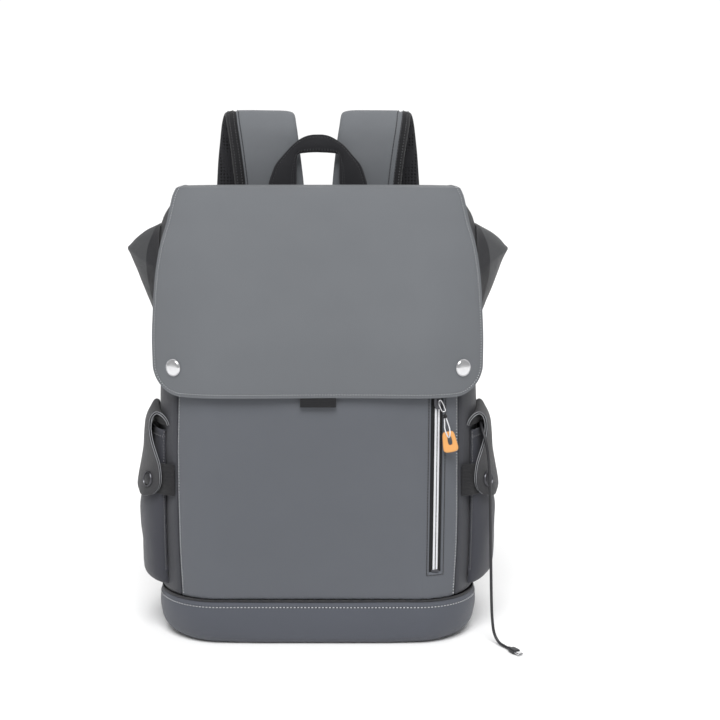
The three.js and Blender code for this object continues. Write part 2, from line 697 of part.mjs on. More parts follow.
const STRAP_FOLD_GAP = 0.002;  // as a share of the strap's length
const LOCK = { x: 108, y: 97.6, z: 164, thick: 5, slots: [169, 159] };
const WEBBING_WIDTH = 25;
const WEBBING_THICK = 1.8;
const LOWER_WEBBING = [[109, 93.4, 158], [113, 87, 110], [116.5, 79, 60], [117, 77, 48]];
const WEBBING_TAIL = [[108.5, 102.6, 158], [110, 104, 120], [111.5, 103, 74]];
const ANCHOR = [[98, 16], [131, 16], [131, 47], [104, 47]];
const ANCHOR_THICK = 4;

function webbing(points, rows) {
  const curve = smoothCurve(points);
  return strip(strapFace(curve, () => WEBBING_WIDTH, steps(0, 1, rows)), WEBBING_THICK);
}

function ladderLock(side) {
  const lockFrame = roundedRectangle(19, 11, 3, side * LOCK.x, LOCK.z);
  for (const z of LOCK.slots) {
    lockFrame.holes.push(roundedRectangle(14, 2, 1, side * LOCK.x, z, THREE.Path));
  }
  return plate(lockFrame, LOCK.y, LOCK.thick, 3);
}

for (const [name, side] of SIDES) {
  const path = smoothCurve(flip(STRAP_PATH, side));
  const top = highestShare(path);
  const riser = steps(0, top - STRAP_FOLD_GAP, RISER_ROWS);
  const hanging = steps(top + STRAP_FOLD_GAP, 1, 18);
  const face = strapFace(path, strapWidth, [...riser, ...hanging]);
  add(`${name}_strap_riser`, strip(face, STRAP_THICK, 0, RISER_ROWS), CLOTH_GREY);
  add(`${name}_shoulder_strap`, strip(face, STRAP_THICK, RISER_ROWS + 1), CLOTH_GREY);
  add(`${name}_ladder_lock`, ladderLock(side), PLASTIC);
  add(`${name}_lower_webbing`, webbing(flip(LOWER_WEBBING, side), 8), WEBBING);
  add(`${name}_webbing_tail`, webbing(flip(WEBBING_TAIL, side), 5), WEBBING);
  const anchor = new THREE.Shape(ANCHOR.map(([x, z]) => new THREE.Vector2(side * x, z)));
  add(`${name}_webbing_anchor`, plate(anchor, BACK_Y + GAP + ANCHOR_THICK / 2, ANCHOR_THICK), CLOTH_DARK);
}

// ---------------------------------------------------------------- charging lead

const PORT = { size: [6, 18, 24], at: [160, -12, 150] };
const PLUG = { size: [4.6, 15, 20], at: [160.4, -12, 173] };
for (const [name, { size, at }] of [['usb_port', PORT], ['usb_plug', PLUG]]) {
  add(name, new THREE.BoxGeometry(...size).translate(...at), PLASTIC);
}

const LEAD_DIAMETER = 2.8;
const LEAD_ROUTE = [
  [160.4, -12, 183.4], [160.2, -13, 190], [158.4, -18, 201.5], [157.7, -23.5, 210], [159.2, -31, 213.2],
  [159, -38, 213.6], [157.5, -47, 212.6], [158.8, -57, 206], [161.8, -63, 194], [163.8, -65.5, 178],
  [165, -66.8, 158],
  [165.7, -67.4, 136], [166.4, -67.8, 112], [167, -68.2, 88], [167.7, -68.6, 64], [168.4, -69.2, 42],
  [169.4, -70.4, 24], [171.4, -73, 10], [175.4, -78.4, 3.2], [180.4, -85.4, 1.7], [184.6, -93, 1.6],
];
add('usb_lead', tube(LEAD_ROUTE.map(([x, y, z]) => vec(x, y, z)), LEAD_DIAMETER, 4, 5.6), PLASTIC);

const LEAD_END = vec(...LEAD_ROUTE.at(-1));
const LEAD_HEADING = LEAD_END.clone().sub(vec(...LEAD_ROUTE.at(-2))).setZ(0).normalize();
const CONNECTOR = [7.6, 16, 4.4];
const connectorAt = LEAD_END.clone().addScaledVector(LEAD_HEADING, CONNECTOR[1] / 2 + GAP).setZ(2.3);
const connector = new THREE.BoxGeometry(...CONNECTOR);
connector.rotateZ(Math.atan2(-LEAD_HEADING.x, LEAD_HEADING.y));
add('usb_connector', connector.translate(...connectorAt.toArray()), PLASTIC);

export default group;
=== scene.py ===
"""A flap-top backpack with a charging lead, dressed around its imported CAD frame.

Metres, +Z up, +Y towards the wearer, +X to the right seen from the front.
"""
import math

import bpy
import numpy as np
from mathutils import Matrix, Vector, noise
from mathutils.bvhtree import BVHTree


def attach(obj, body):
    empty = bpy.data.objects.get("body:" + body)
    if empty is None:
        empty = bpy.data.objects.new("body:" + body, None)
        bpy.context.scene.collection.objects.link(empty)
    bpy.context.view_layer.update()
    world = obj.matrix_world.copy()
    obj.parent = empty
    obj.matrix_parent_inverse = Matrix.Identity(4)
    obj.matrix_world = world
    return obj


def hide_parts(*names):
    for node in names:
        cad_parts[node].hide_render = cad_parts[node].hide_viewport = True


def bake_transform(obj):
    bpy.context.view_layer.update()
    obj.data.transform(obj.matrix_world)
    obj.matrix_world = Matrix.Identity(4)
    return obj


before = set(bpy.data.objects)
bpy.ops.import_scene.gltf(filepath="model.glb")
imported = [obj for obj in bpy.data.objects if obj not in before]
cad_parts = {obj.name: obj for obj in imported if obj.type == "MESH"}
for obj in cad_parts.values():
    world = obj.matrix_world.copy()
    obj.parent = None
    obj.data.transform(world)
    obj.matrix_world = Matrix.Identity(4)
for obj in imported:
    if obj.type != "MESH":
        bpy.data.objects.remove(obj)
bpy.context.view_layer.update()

MM = 0.001
SIDES = (("left", -1), ("right", 1))

# ---------------- camera, light and floor

CAMERA_AT = Vector((0, -1.425, 0.505))
CAMERA_AIM = Vector((0, -0.075, 0.28))
CAMERA_LENS = 72.8
CAMERA_SHIFT = 0.0583
ROOM_LIGHT = 0.47              # how strongly the white room lights the bag
ROOM_SEEN = 1.05               # and how bright the camera sees it


def linked(name, data):
    """A new object in the scene."""
    made = bpy.data.objects.new(name, data)
    bpy.context.scene.collection.objects.link(made)
    return made


def aimed(name, data, at, aim):
    made = linked(name, data)
    made.location = at
    made.rotation_euler = (Vector(aim) - Vector(at)).to_track_quat("-Z", "Y").to_euler()
    return made


def make_camera():
    lens = bpy.data.cameras.new("camera")
    lens.lens = CAMERA_LENS
    lens.sensor_width = 36
    lens.shift_x = CAMERA_SHIFT
    bpy.context.scene.camera = aimed("camera", lens, CAMERA_AT, CAMERA_AIM)


def make_sun(name, at, energy, softness):
    light = bpy.data.lights.new(name, "SUN")
    light.energy = energy
    light.angle = math.radians(softness)
    aimed(name, light, at, (0, 0, 0))


def make_studio():
    """Soft daylight from above the front, a weak light from behind, and a white room."""
    make_sun("key", (-0.04, -0.75, 1.1), 2.8, 35)
    make_sun("rear", (0.3, 0.8, 0.6), 0.55, 60)
    world = bpy.data.worlds.new("studio")
    world.use_nodes = True
    nodes, link = world.node_tree.nodes, world.node_tree.links.new
    room, seen = nodes["Background"], nodes.new("ShaderNodeBackground")
    for background, strength in ((room, ROOM_LIGHT), (seen, ROOM_SEEN)):
        background.inputs["Color"].default_value = (1, 1, 1, 1)
        background.inputs["Strength"].default_value = strength
    mixed = nodes.new("ShaderNodeMixShader")
    link(nodes.new("ShaderNodeLightPath").outputs["Is Camera Ray"], mixed.inputs[0])
    link(room.outputs[0], mixed.inputs[1])
    link(seen.outputs[0], mixed.inputs[2])
    link(mixed.outputs[0], nodes["World Output"].inputs["Surface"])
    bpy.context.scene.world = world
    bpy.context.scene.view_settings.view_transform = "Standard"


# ---------------- splines and tables


def spline(points, shares):
    """Centripetal Catmull-Rom through some points, at shares of its stretches from 0 to 1."""
    p = np.array(points, float)
    p = np.vstack([2 * p[0] - p[1], p, 2 * p[-1] - p[-2]])
    stretches = len(points) - 1
    made = []
    for share in np.atleast_1d(shares):
        i = min(int(share * stretches), stretches - 1)
        t = share * stretches - i
        a, b, c, d = p[i:i + 4]
        d0, d1, d2 = (max(np.linalg.norm(v), 1e-9) ** 0.5 for v in (b - a, c - b, d - c))
        m1 = ((b - a) / d0 - (c - a) / (d0 + d1) + (c - b) / d1) * d1
        m2 = ((c - b) / d1 - (d - b) / (d1 + d2) + (d - c) / d2) * d1
        made.append(hermite(b, c, m1, m2, t))
    return np.array(made)


def hermite(a, b, slope_a, slope_b, t):
    return ((2 * t**3 - 3 * t**2 + 1) * a + (t**3 - 2 * t**2 + t) * slope_a
            + (3 * t**2 - 2 * t**3) * b + (t**3 - t**2) * slope_b)


def even(points, count):
    """The same line with evenly spaced points."""
    points = np.array(points, float)
    run = np.concatenate([[0], np.cumsum(np.linalg.norm(np.diff(points, axis=0), axis=1))])
    wanted = np.linspace(0, run[-1], count)
    return np.stack([np.interp(wanted, run, points[:, k]) for k in range(3)], axis=1)


def table(rows):
    """A smooth function of height through rows given in millimetres: height, then values."""
    rows = np.array(rows, float) * MM
    heights, values = rows[:, 0], rows[:, 1:]
    slopes = np.gradient(values, heights, axis=0)

    def at(height):
        h = min(max(height, heights[0]), heights[-1])
        i = min(max(int(np.searchsorted(heights, h)) - 1, 0), len(heights) - 2)
        span = heights[i + 1] - heights[i]
        return hermite(values[i], values[i + 1], slopes[i] * span, slopes[i + 1] * span,
                       (h - heights[i]) / span)
    return at


def spaced(low, high, step, edge):
    """Places from low to high, a step apart, and closer together near both ends."""
    near = [edge * share for share in (0, 0.1, 0.25, 0.45, 0.7)]
    inner = np.linspace(low + edge, high - edge, max(2, round((high - low - 2 * edge) / step) + 1))
    return np.array([low + n for n in near] + list(inner) + [high - n for n in reversed(near)])


def ease(t):
    t = np.clip(t, 0, 1)
    return t * t * (3 - 2 * t)


def unit(vectors):
    """Vectors in the same directions, one long."""
    return vectors / np.maximum(np.linalg.norm(vectors, axis=-1, keepdims=True), 1e-12)


def circle(count):
    """Angles evenly round a circle, the first not repeated at the end."""
    return np.linspace(0, 2 * math.pi, count, endpoint=False)


def bent(value, power):
    """A cosine or sine raised to a power with its sign kept, which squares off a round shape."""
    return math.copysign(abs(value) ** power, value)


def lumps(points, size, seed):
    """Smooth noise from -1 to 1 at each point of a grid, in lumps of about a size."""
    shift = Vector((seed * 7.3, seed * 3.1, seed * 5.7))
    flat = points.reshape(-1, 3)
    found = [noise.noise(Vector(p) / size + shift) for p in flat]
    return np.array(found).reshape(points.shape[:-1])


# ---------------- looks


def tone(red, green, blue):
    """A colour as the eye sees it, from 0 to 255, as the shader's linear light."""
    return (*[((c / 255 + 0.055) / 1.055) ** 2.4 for c in (red, green, blue)], 1)


def look(name, colour, roughness, **sockets):
    made = bpy.data.materials.new(name)
    made.use_nodes = True
    shader = made.node_tree.nodes["Principled BSDF"]
    shader.inputs["Base Color"].default_value = colour
    shader.inputs["Roughness"].default_value = roughness
    for socket, value in sockets.items():
        shader.inputs[socket.replace("_", " ")].default_value = value
    return made


def node(m, kind, inputs, **settings):
    """Adds a node, each input fed by a value or by another node's output."""
    made = m.node_tree.nodes.new("ShaderNode" + kind)
    for key, value in settings.items():
        setattr(made, key, value)
    for key, value in inputs.items():
        if isinstance(value, bpy.types.NodeSocket):
            m.node_tree.links.new(value, made.inputs[key])
        else:
            made.inputs[key].default_value = value
    return made


def calc(m, operation, *values):
    return node(m, "Math", dict(enumerate(values)), operation=operation).outputs[0]


def place(m, kind="Object"):
    return node(m, "TexCoord", {}).outputs[kind]


def noise_of(m, scale, detail=3.0, coords="Object"):
    return node(m, "TexNoise", {"Vector": place(m, coords), "Scale": scale, "Detail": detail}).outputs[0]


def wave_of(m, axis, pitch, coords="UV"):
    """From -1 to 1 along one axis, once in each pitch."""
    along = node(m, "SeparateXYZ", {0: place(m, coords)}).outputs[axis]
    return calc(m, "SINE", calc(m, "MULTIPLY", along, 2 * math.pi / pitch))


def ramp(m, factor, *stops):
    """A number or colour that changes with a factor: (place, value) stops."""
    made = node(m, "ValToRGB", {0: factor})
    elements = made.color_ramp.elements
    while len(elements) < len(stops):
        elements.new(0.5)
    for element, (at, value) in zip(elements, stops):
        element.position = at
        element.color = value if hasattr(value, "__len__") else (value, value, value, 1)
    return made.outputs[0]


def times(colour, strength):
    """A colour made dimmer or brighter."""
    return tuple(min(1, c * strength) for c in colour[:3]) + (1,)


def shade(m, colour, low, high, factor):
    """The colour, varied between two strengths by a factor."""
    feed(m, "Base Color", ramp(m, factor, (0.3, times(colour, low)), (0.7, times(colour, high))))


def feed(m, socket, output):
    m.node_tree.links.new(output, m.node_tree.nodes["Principled BSDF"].inputs[socket])


def bump(m, height, depth, strength=1.0):
    made = node(m, "Bump", {"Height": height, "Distance": depth, "Strength": strength})
    feed(m, "Normal", made.outputs[0])


def rubbed_edges_and_shaded_hollows(m, base, gain):
    """Rubbed edges and painted shade: convex edges are worn lighter, hollows and creases are painted darker
    as shade.
    """
    point = node(m, "NewGeometry", {}).outputs["Pointiness"]
    # Painted shade: the mix goes darker where the surface is hollow, and lighter on worn convex edges.
    edge_wear_and_shade = ramp(m, point, (0.44, 0.0), (0.5, 0.45), (0.58, 1.0))
    return node(m, "Mix", {0: edge_wear_and_shade, 6: times(base, 1 - gain), 7: times(base, 1 + gain)},
                data_type="RGBA").outputs[2]


def cloth(name, colour, pitch=0.0008, depth=0.00006, roughness=0.6, mottle=0.035, wear_and_hollow_shade=0.12):
    """Coated plain-weave cloth: a fine weave with painted shade between its threads, soft clouds of tone,
    and rubbed edges with painted shade in its hollows.
    """
    m = look(name, colour, roughness, Sheen_Weight=0.12, Sheen_Roughness=0.5, Specular_IOR_Level=0.35)
    weave = calc(m, "MULTIPLY", wave_of(m, 0, pitch), wave_of(m, 1, pitch))
    grain = noise_of(m, 1400, 2)
    height = calc(m, "ADD", weave, calc(m, "MULTIPLY", grain, 1.2))
    clouds = ramp(m, noise_of(m, 7, 4), (0.3, 1 - mottle), (0.7, 1 + mottle))
    # Painted shade in the weave: darker where its threads sink, lighter on their crowns.
    weave_shade = ramp(m, weave, (0.0, 0.965), (1.0, 1.035))
    # Rubbed edges lighter, hollows darker as painted shade.
    tinted = rubbed_edges_and_shaded_hollows(m, colour, wear_and_hollow_shade)
    for factor in (clouds, weave_shade):
        tinted = node(m, "Mix", {0: 1.0, 6: tinted, 7: factor},
                      data_type="RGBA", blend_type="MULTIPLY").outputs[2]
    feed(m, "Base Color", tinted)
    feed(m, "Roughness", ramp(m, noise_of(m, 30, 3), (0.3, roughness - 0.05), (0.7, roughness + 0.05)))
    bump(m, height, depth)
    return m


def ribbed(name, colour, rib=0.0016, across=0.0009, depth=0.00022, roughness=0.8):
    """Woven webbing: ribs across its length with yarns running over them, painted darker in the grooves as
    shade.
    """
    m = look(name, colour, roughness, Sheen_Weight=0.2, Specular_IOR_Level=0.3)
    ribs = calc(m, "ABSOLUTE", wave_of(m, 1, rib * 2))
    yarns = calc(m, "MULTIPLY", wave_of(m, 0, across), 0.45)
    height = calc(m, "ADD", ribs, calc(m, "ADD", yarns, calc(m, "MULTIPLY", noise_of(m, 1800, 2), 0.5)))
    # Painted shade: the colour follows the ribs' height, darker in the grooves, lighter on the crests.
    shade(m, colour, 0.72, 1.25, calc(m, "MULTIPLY", height, 0.6))
    bump(m, height, depth)
    return m


def spacer_mesh(name, colour, cell=0.0034):
    """Open black mesh: rows of small round holes, painted dark as the shade inside them."""
    m = look(name, colour, 0.85, Sheen_Weight=0.15, Specular_IOR_Level=0.25)
    cells = node(m, "TexVoronoi", {"Vector": place(m), "Scale": 1 / cell, "Randomness": 0.12})
    near = cells.outputs["Distance"]
    hole = ramp(m, near, (0.22, 0.0), (0.42, 1.0))
    # Painted shade: the holes are darker than the mesh around them.
    feed(m, "Base Color", ramp(m, near, (0.2, times(colour, 0.25)), (0.42, times(colour, 1.35))))
    bump(m, calc(m, "ADD", hole, calc(m, "MULTIPLY", noise_of(m, 1500, 2), 0.2)), 0.0007)
    return m


def hide(name, colour):
    """Smooth leather: shallow pores, rubbed lighter edges and painted shade in its hollows."""
    m = look(name, colour, 0.5, Specular_IOR_Level=0.4)
    pores = node(m, "TexVoronoi", {"Vector": place(m), "Scale": 1300.0}).outputs["Distance"]
    feed(m, "Base Color", rubbed_edges_and_shaded_hollows(m, colour, 0.16))
    bump(m, calc(m, "ADD", pores, noise_of(m, 500, 3)), 0.00008)
    return m


def metal(name, colour, roughness):
    m = look(name, colour, roughness, Metallic=1.0)
    feed(m, "Roughness", ramp(m, noise_of(m, 260, 4), (0.3, roughness * 0.7), (0.75, roughness * 1.5)))
    bump(m, noise_of(m, 700, 2), 0.00001)
    return m


def moulded(name, colour, roughness=0.5):
    """Moulded plastic or rubber with a fine spark-eroded grain, rubbed lighter edges and painted shade in
    its hollows.
    """
    m = look(name, colour, roughness, Specular_IOR_Level=0.45)
    feed(m, "Base Color", rubbed_edges_and_shaded_hollows(m, colour, 0.25))
    bump(m, noise_of(m, 2200, 2), 0.00005)
    return m


def twisted(name, colour):
    """Sewing thread: plies wound round it."""
    m = look(name, colour, 0.55, Sheen_Weight=0.3)
    bump(m, wave_of(m, 2, 0.0006, "Object"), 0.00008)
    shade(m, colour, 0.8, 1.15, noise_of(m, 900, 2))
    return m


GREY = tone(102, 105, 109)
LOOKS = {
    "grey": cloth("grey_cloth", GREY),
    # Painted shade: a darker copy of the grey cloth for the front under the flap.
    "front": cloth("front_cloth_painted_shade", tone(90, 93, 99)),
    # Painted shade: a much darker copy of the grey cloth for the bag's sides.
    "side": cloth("side_cloth_painted_shade", tone(60, 61, 66)),
    # Painted shade: a darker copy of the grey cloth for the base, low on the bag.
    "base": cloth("base_cloth_painted_shade", tone(77, 80, 88)),
    # Painted shade: a darker copy of the grey cloth for the side pockets.
    "pocket": cloth("pocket_cloth_painted_shade", tone(56, 57, 64)),
    # Painted shade: a darker copy of the grey cloth for the folded ears.
    "ear": cloth("ear_cloth_painted_shade", tone(62, 63, 65)),
    "dark": cloth("dark_cloth", tone(45, 45, 48), roughness=0.66),
    "lining": cloth("lining_cloth", tone(50, 51, 54), pitch=0.0012, roughness=0.5),
    # Painted shadow: near-black cloth inside the pockets and under the tabs, where only shade falls.
    "black": cloth("black_painted_shadow", tone(20, 20, 22), pitch=0.0012, roughness=0.8),
    "edge": look("painted_edge", tone(152, 154, 158), 0.55),
    "webbing": ribbed("black_webbing", tone(23, 23, 26)),
    "handle": cloth("handle_cloth", tone(31, 31, 35), pitch=0.0011, depth=0.00012, roughness=0.72),
    "mesh": spacer_mesh("air_mesh", tone(36, 36, 39)),
    "thread": twisted("grey_thread", tone(196, 198, 202)),
    "seam_thread": twisted("seam_thread", tone(112, 113, 117)),
    "dark_thread": twisted("dark_thread", tone(58, 58, 62)),
    # Painted shade: the dark ends of each stitch where it dives into its needle hole.
    "hole": look("needle_hole_shade", tone(24, 24, 26), 0.9),
    "steel": metal("polished_steel", tone(222, 222, 224), 0.16),
    "gunmetal": metal("dark_metal", tone(88, 88, 92), 0.34),
    "silver": cloth("silver_tape", tone(226, 227, 230), pitch=0.0006, depth=0.00008, roughness=0.4),
    "leather": hide("tan_leather", tone(226, 163, 96)),
    "raw_leather": hide("raw_leather", tone(208, 126, 62)),
    "plastic": moulded("black_plastic", tone(40, 40, 43)),
    "jacket": moulded("lead_jacket", tone(38, 38, 41), 0.42),
    "board": moulded("stiffener_board", tone(170, 168, 160), 0.75),
}

# ---------------- building pieces


def solid(name, points, faces, looks, picks=None, uvs=None, sharp=55):
    """A mesh piece. picks says which of its looks each face has."""
    mesh = bpy.data.meshes.new(name)
    mesh.from_pydata([tuple(p) for p in points], [], [tuple(int(i) for i in f) for f in faces])
    for one in looks:
        mesh.materials.append(LOOKS[one])
    if picks is not None:
        mesh.polygons.foreach_set("material_index", np.array(picks, np.int32))
    if uvs is not None:
        corner = np.zeros(len(mesh.loops), np.int32)
        mesh.loops.foreach_get("vertex_index", corner)
        mesh.uv_layers.new(name="weave").data.foreach_set("uv", np.array(uvs, float)[corner].ravel())
    mesh.shade_smooth()
    mesh.set_sharp_from_angle(angle=math.radians(sharp))
    return linked(name, mesh)


def facing(grid, closed=False):
    """Unit normals of a grid of points, outwards where its columns run to the right of its rows."""
    across = np.roll(grid, -1, 1) - np.roll(grid, 1, 1) if closed else np.gradient(grid, axis=1)
    return unit(np.cross(across, np.gradient(grid, axis=0)))


def runs(grid):
    """How far each point is along its row and along its column, in metres."""
    across = np.linalg.norm(np.diff(grid, axis=1), axis=2)
    up = np.linalg.norm(np.diff(grid, axis=0), axis=2)
    u = np.concatenate([np.zeros((len(grid), 1)), np.cumsum(across, axis=1)], axis=1)
    v = np.concatenate([np.zeros((1, grid.shape[1])), np.cumsum(up, axis=0)], axis=0)
    return u, v


def rolled(away, radius):
    """How far a rounded edge has dropped at a distance from the edge."""
    d = np.clip(away, 0, radius)
    return radius - np.sqrt(np.maximum(radius**2 - (radius - d) ** 2, 0))


def border(grid, sides="lrtb"):
    """Each point's distance from the nearest of some edges: left, right, top, bottom."""
    u, v = runs(grid)
    far = {"l": u, "r": u[:, -1:] - u, "b": v, "t": v[-1:] - v}
    return np.min([far[s] for s in sides], axis=0)


def panel(name, grid, thick, looks, seam=(0.0, 0.0), seam_sides="lrtb", skip=None, drop=0.0,
          round_to=0.45):
    """Cloth of even thickness over a grid, its outer face, with rounded edges.

    seam is the depth and width of the dip towards its sewn edges, looks are those of the outer
    face, the inner face and the edge, and skip marks the faces that are left out.
    """
    normal = facing(grid)
    depth = np.zeros(grid.shape[:2]) + drop
    if seam[1]:
        depth = depth + seam[0] * (1 - ease(border(grid, seam_sides) / seam[1])) ** 2
    soft = rolled(border(grid), thick * round_to)
    outer = grid - normal * (depth + soft)[..., None]
    inner = grid - normal * (depth + thick - soft)[..., None]
    rows, columns = grid.shape[:2]
    u, v = runs(grid)
    u = u - u[:, columns // 2][:, None]
    number = np.arange(rows * columns).reshape(rows, columns)
    quads = np.stack([number[:-1, :-1], number[:-1, 1:], number[1:, 1:], number[1:, :-1]], axis=-1)
    if skip is not None:
        quads = quads[~skip]
    quads = quads.reshape(-1, 4)
    half = rows * columns
    sides = dict.fromkeys((a, b) for quad in quads for a, b in zip(quad, np.roll(quad, -1)))
    rim = [(b, a, a + half, b + half) for a, b in sides if (b, a) not in sides]
    faces = [*quads, *(quads[:, ::-1] + half), *rim]
    picks = [0] * len(quads) + [1] * len(quads) + [2] * len(rim)
    uv = np.stack([u, v], axis=-1).reshape(-1, 2)
    points = np.concatenate([outer.reshape(-1, 3), inner.reshape(-1, 3)])
    return solid(name, points, faces, looks, picks, np.concatenate([uv, uv]))


def tube_faces(count, around):
    """Faces of a closed tube of rings: those of its sides, and its two ends."""
    number = np.arange(count * around).reshape(count, around)
    after = np.roll(number, -1, 1)
    quads = np.stack([number[:-1], after[:-1], after[1:], number[1:]], axis=-1)
    return [*quads.reshape(-1, 4)], [number[0][::-1], number[-1]]


def loft(name, rings, looks, picks=None, capped=True, sharp=55):
    """A closed body through rings of points. picks says which look each face has, in one ring or all."""
    rings = np.array(rings, float)
    count, around = rings.shape[:2]
    faces, ends = tube_faces(count, around)
    marks = list(np.broadcast_to(0 if picks is None else picks, (count - 1, around)).ravel())
    if capped:
        faces += ends
        marks += [0, 0]
    uv = np.stack(runs(rings), axis=-1).reshape(-1, 2)
    return solid(name, rings.reshape(-1, 3), faces, looks, marks, uv, sharp)


def mirrored(grid, side):
    """A right-hand grid, or its mirror image for the left side, still facing outwards."""
    if side > 0:
        return grid
    return grid[:, ::-1] * np.array([-1.0, 1.0, 1.0])


def turned(name, profile, centre, axis, looks, around=40):
    """A round piece: (radius, height) pairs turned about an axis through a centre."""
    axis = Vector(axis).normalized()
    first = axis.orthogonal().normalized()
    second = axis.cross(first)
    rings = [[Vector(centre) + axis * height + (first * math.cos(a) + second * math.sin(a)) * radius
              for a in circle(around)] for radius, height in profile]
    return loft(name, rings, looks, sharp=40)


def rope(name, line, radius, looks, around=8):
    """A round rod or cord along a line."""
    line = np.array(line, float)
    tangents = np.gradient(line, axis=0)
    side = np.cross(tangents[0], (0.13, 0.41, 0.9))
    rings = []
    for at, tangent in zip(line, unit(tangents)):
        side = unit(side - tangent * (side @ tangent))
        other = np.cross(tangent, side)
        rings.append([at + (side * math.cos(a) + other * math.sin(a)) * radius for a in circle(around)])
    return loft(name, rings, looks)


STITCH_RINGS = ((-0.68, 0.05, 0.7), (-0.36, 0.12, 0.9), (-0.3, 0.5, 0.95), (0, 0.75, 1), (0.3, 0.5, 0.95),
                (0.36, 0.12, 0.9), (0.68, 0.05, 0.7))
STITCH_AROUND = 5
# The needle-hole bands are painted dark as the shade in the holes.
STITCH_HOLES = (0, 5)          # the bands of a stitch that are its needle holes


def stitches(name, lines, pieces, pitch=0.0029, stitch=0.0021, radius=0.0005, look_name="thread"):
    """Rows of thread laid on the pieces' surface along some lines, with a dark needle hole of painted shade
    at each end.
    """
    trees = [surface_of(piece) for piece in pieces]
    sides, ends = tube_faces(len(STITCH_RINGS), STITCH_AROUND)
    one = [*sides, *ends]
    marks = [int(k // STITCH_AROUND in STITCH_HOLES) for k in range(len(sides))] + [1, 1]
    points, faces, picks = [], [], []
    for line in lines:
        line = np.array(line, float)
        length = np.linalg.norm(np.diff(line, axis=0), axis=1).sum()
        count = max(2, int(length / pitch))
        fine = even(line, count * 4 + 1)
        for k in range(count):
            span = fine[k * 4:k * 4 + 4]
            middle = Vector(span[1:3].mean(axis=0))
            tangent = Vector(span[3] - span[0]).normalized()
            found = [tree.find_nearest(middle) for tree in trees]
            at, normal = min(((f[0], f[1], f[3]) for f in found if f[0]), key=lambda f: f[2])[:2]
            other = tangent.cross(normal).normalized()
            faces += [face + len(points) for face in one]
            for along, lift, size in STITCH_RINGS:
                centre = at + tangent * along * stitch + normal * lift * radius
                for a in range(STITCH_AROUND):
                    turn = a * 2 * math.pi / STITCH_AROUND
                    out = other * math.cos(turn) + normal * math.sin(turn)
                    points.append(centre + out * radius * size)
            picks += marks
    return solid(name, points, faces, [look_name, "hole"], picks)


def surface_of(piece):
    mesh = piece.data
    return BVHTree.FromPolygons([v.co for v in mesh.vertices], [p.vertices for p in mesh.polygons])


def hem_line(grid, path, inset):
    """The line at a distance inside a grid's edge. path lists (row, column) pairs along that edge."""
    normal = facing(grid)
    edge, out = [np.array([values[r, c] for r, c in path]) for values in (grid, normal)]
    return edge + unit(np.cross(out, np.gradient(edge, axis=0))) * inset


def dress(piece, slot, *nodes):
    """Hides the CAD nodes that a piece stands for; its slot is not used."""
    if nodes:
        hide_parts(*nodes)
    return piece


def ride(piece, body, slot, *nodes):
    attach(piece, body)
    return dress(piece, slot, *nodes)


def sew(slot, name, lines, pieces, **thread):
    """Stitches on pieces of the bag's own body."""
    ride(stitches(name, lines, pieces, **thread), "bag", slot)


def bead(name, line, wide, deep, around):
    """A bead of binding round the outline of a pad that faces the wearer."""
    rings = []
    for p, before, after in zip(line, np.roll(line, 1, 0), np.roll(line, -1, 0)):
        out = unit(np.cross(np.array([0, 1.0, 0]), after - before))
        rings.append([p + out * math.cos(a) * wide + np.array([0, math.sin(a) * deep, 0])
                      for a in circle(around)])
    return loft(name, rings + rings[:1], ("webbing",), capped=False)


# ---------------- charging lead

LEAD_DIAMETER = 0.0028
LEAD_ROUTE = np.array([
    [160.4, -12, 183.4], [160.2, -13, 190], [158.4, -18, 201.5], [157.7, -23.5, 210], [159.2, -31, 213.2],
    [159, -38, 213.6], [157.5, -47, 212.6], [158.8, -57, 206], [161.8, -63, 194], [163.8, -65.5, 178],
    [165, -66.8, 158], [165.7, -67.4, 136], [166.4, -67.8, 112], [167, -68.2, 88], [167.7, -68.6, 64],
    [168.4, -69.2, 42], [169.4, -70.4, 24], [171.4, -73, 10], [175.4, -78.4, 3.2], [180.4, -85.4, 1.7],
    [184.6, -93, 1.6],
]) * MM


def make_lead():
    curve = bpy.data.curves.new("charging_lead", "CURVE")
    curve.dimensions = "3D"
    curve.bevel_depth = LEAD_DIAMETER / 2
    curve.bevel_resolution = 5
    curve.use_fill_caps = True
    line = spline(LEAD_ROUTE, np.linspace(0, 1, 191))
    path = curve.splines.new("POLY")
    path.points.add(len(line) - 1)
    for point, at in zip(path.points, line):
        point.co = (*at, 1)
    curve.materials.append(LOOKS["jacket"])
    return ride(linked("charging_lead", curve), "bag", "lead_jacket", "usb_lead")


# ---------------- body outline

BASE_ROW = (0.1565, -0.077, 0.060)
WALL_ROWS = table([
    [44, 155, -75, 60], [100, 157, -77, 60], [180, 156, -79, 60], [245, 154.5, -79, 60],
    [300, 154, -75, 60], [350, 155, -64, 56], [394, 155.5, -46, 50], [412, 150, -35, 43],
    [428, 139, -24, 36],
])
BASE_TOP = 0.0436
WALL_FOOT = 0.044
COLLAR_FOOT = 0.330
MOUTH = 0.428
BACK_TOP = 0.432
BACK_Y = 0.070
BACK_RADIUS = 0.025
BASE_LEVEL = 0.02              # where the base's own outline is read
BASE_ROUND = 0.009
SIDE_ROUND = 0.020
# Where the base seam's dark bead sits and how thick it is; its dark colour is painted shadow.
PIPING_INSET = 0.0017
PIPING_RADIUS = 0.0012
SIDE_SEAM = 0.3285
BACK_SEAM = 0.644
WALL = 0.003
QUARTER = math.pi / 2
LEVEL = np.array([1, 1, 0])     # times this, a point or direction is level


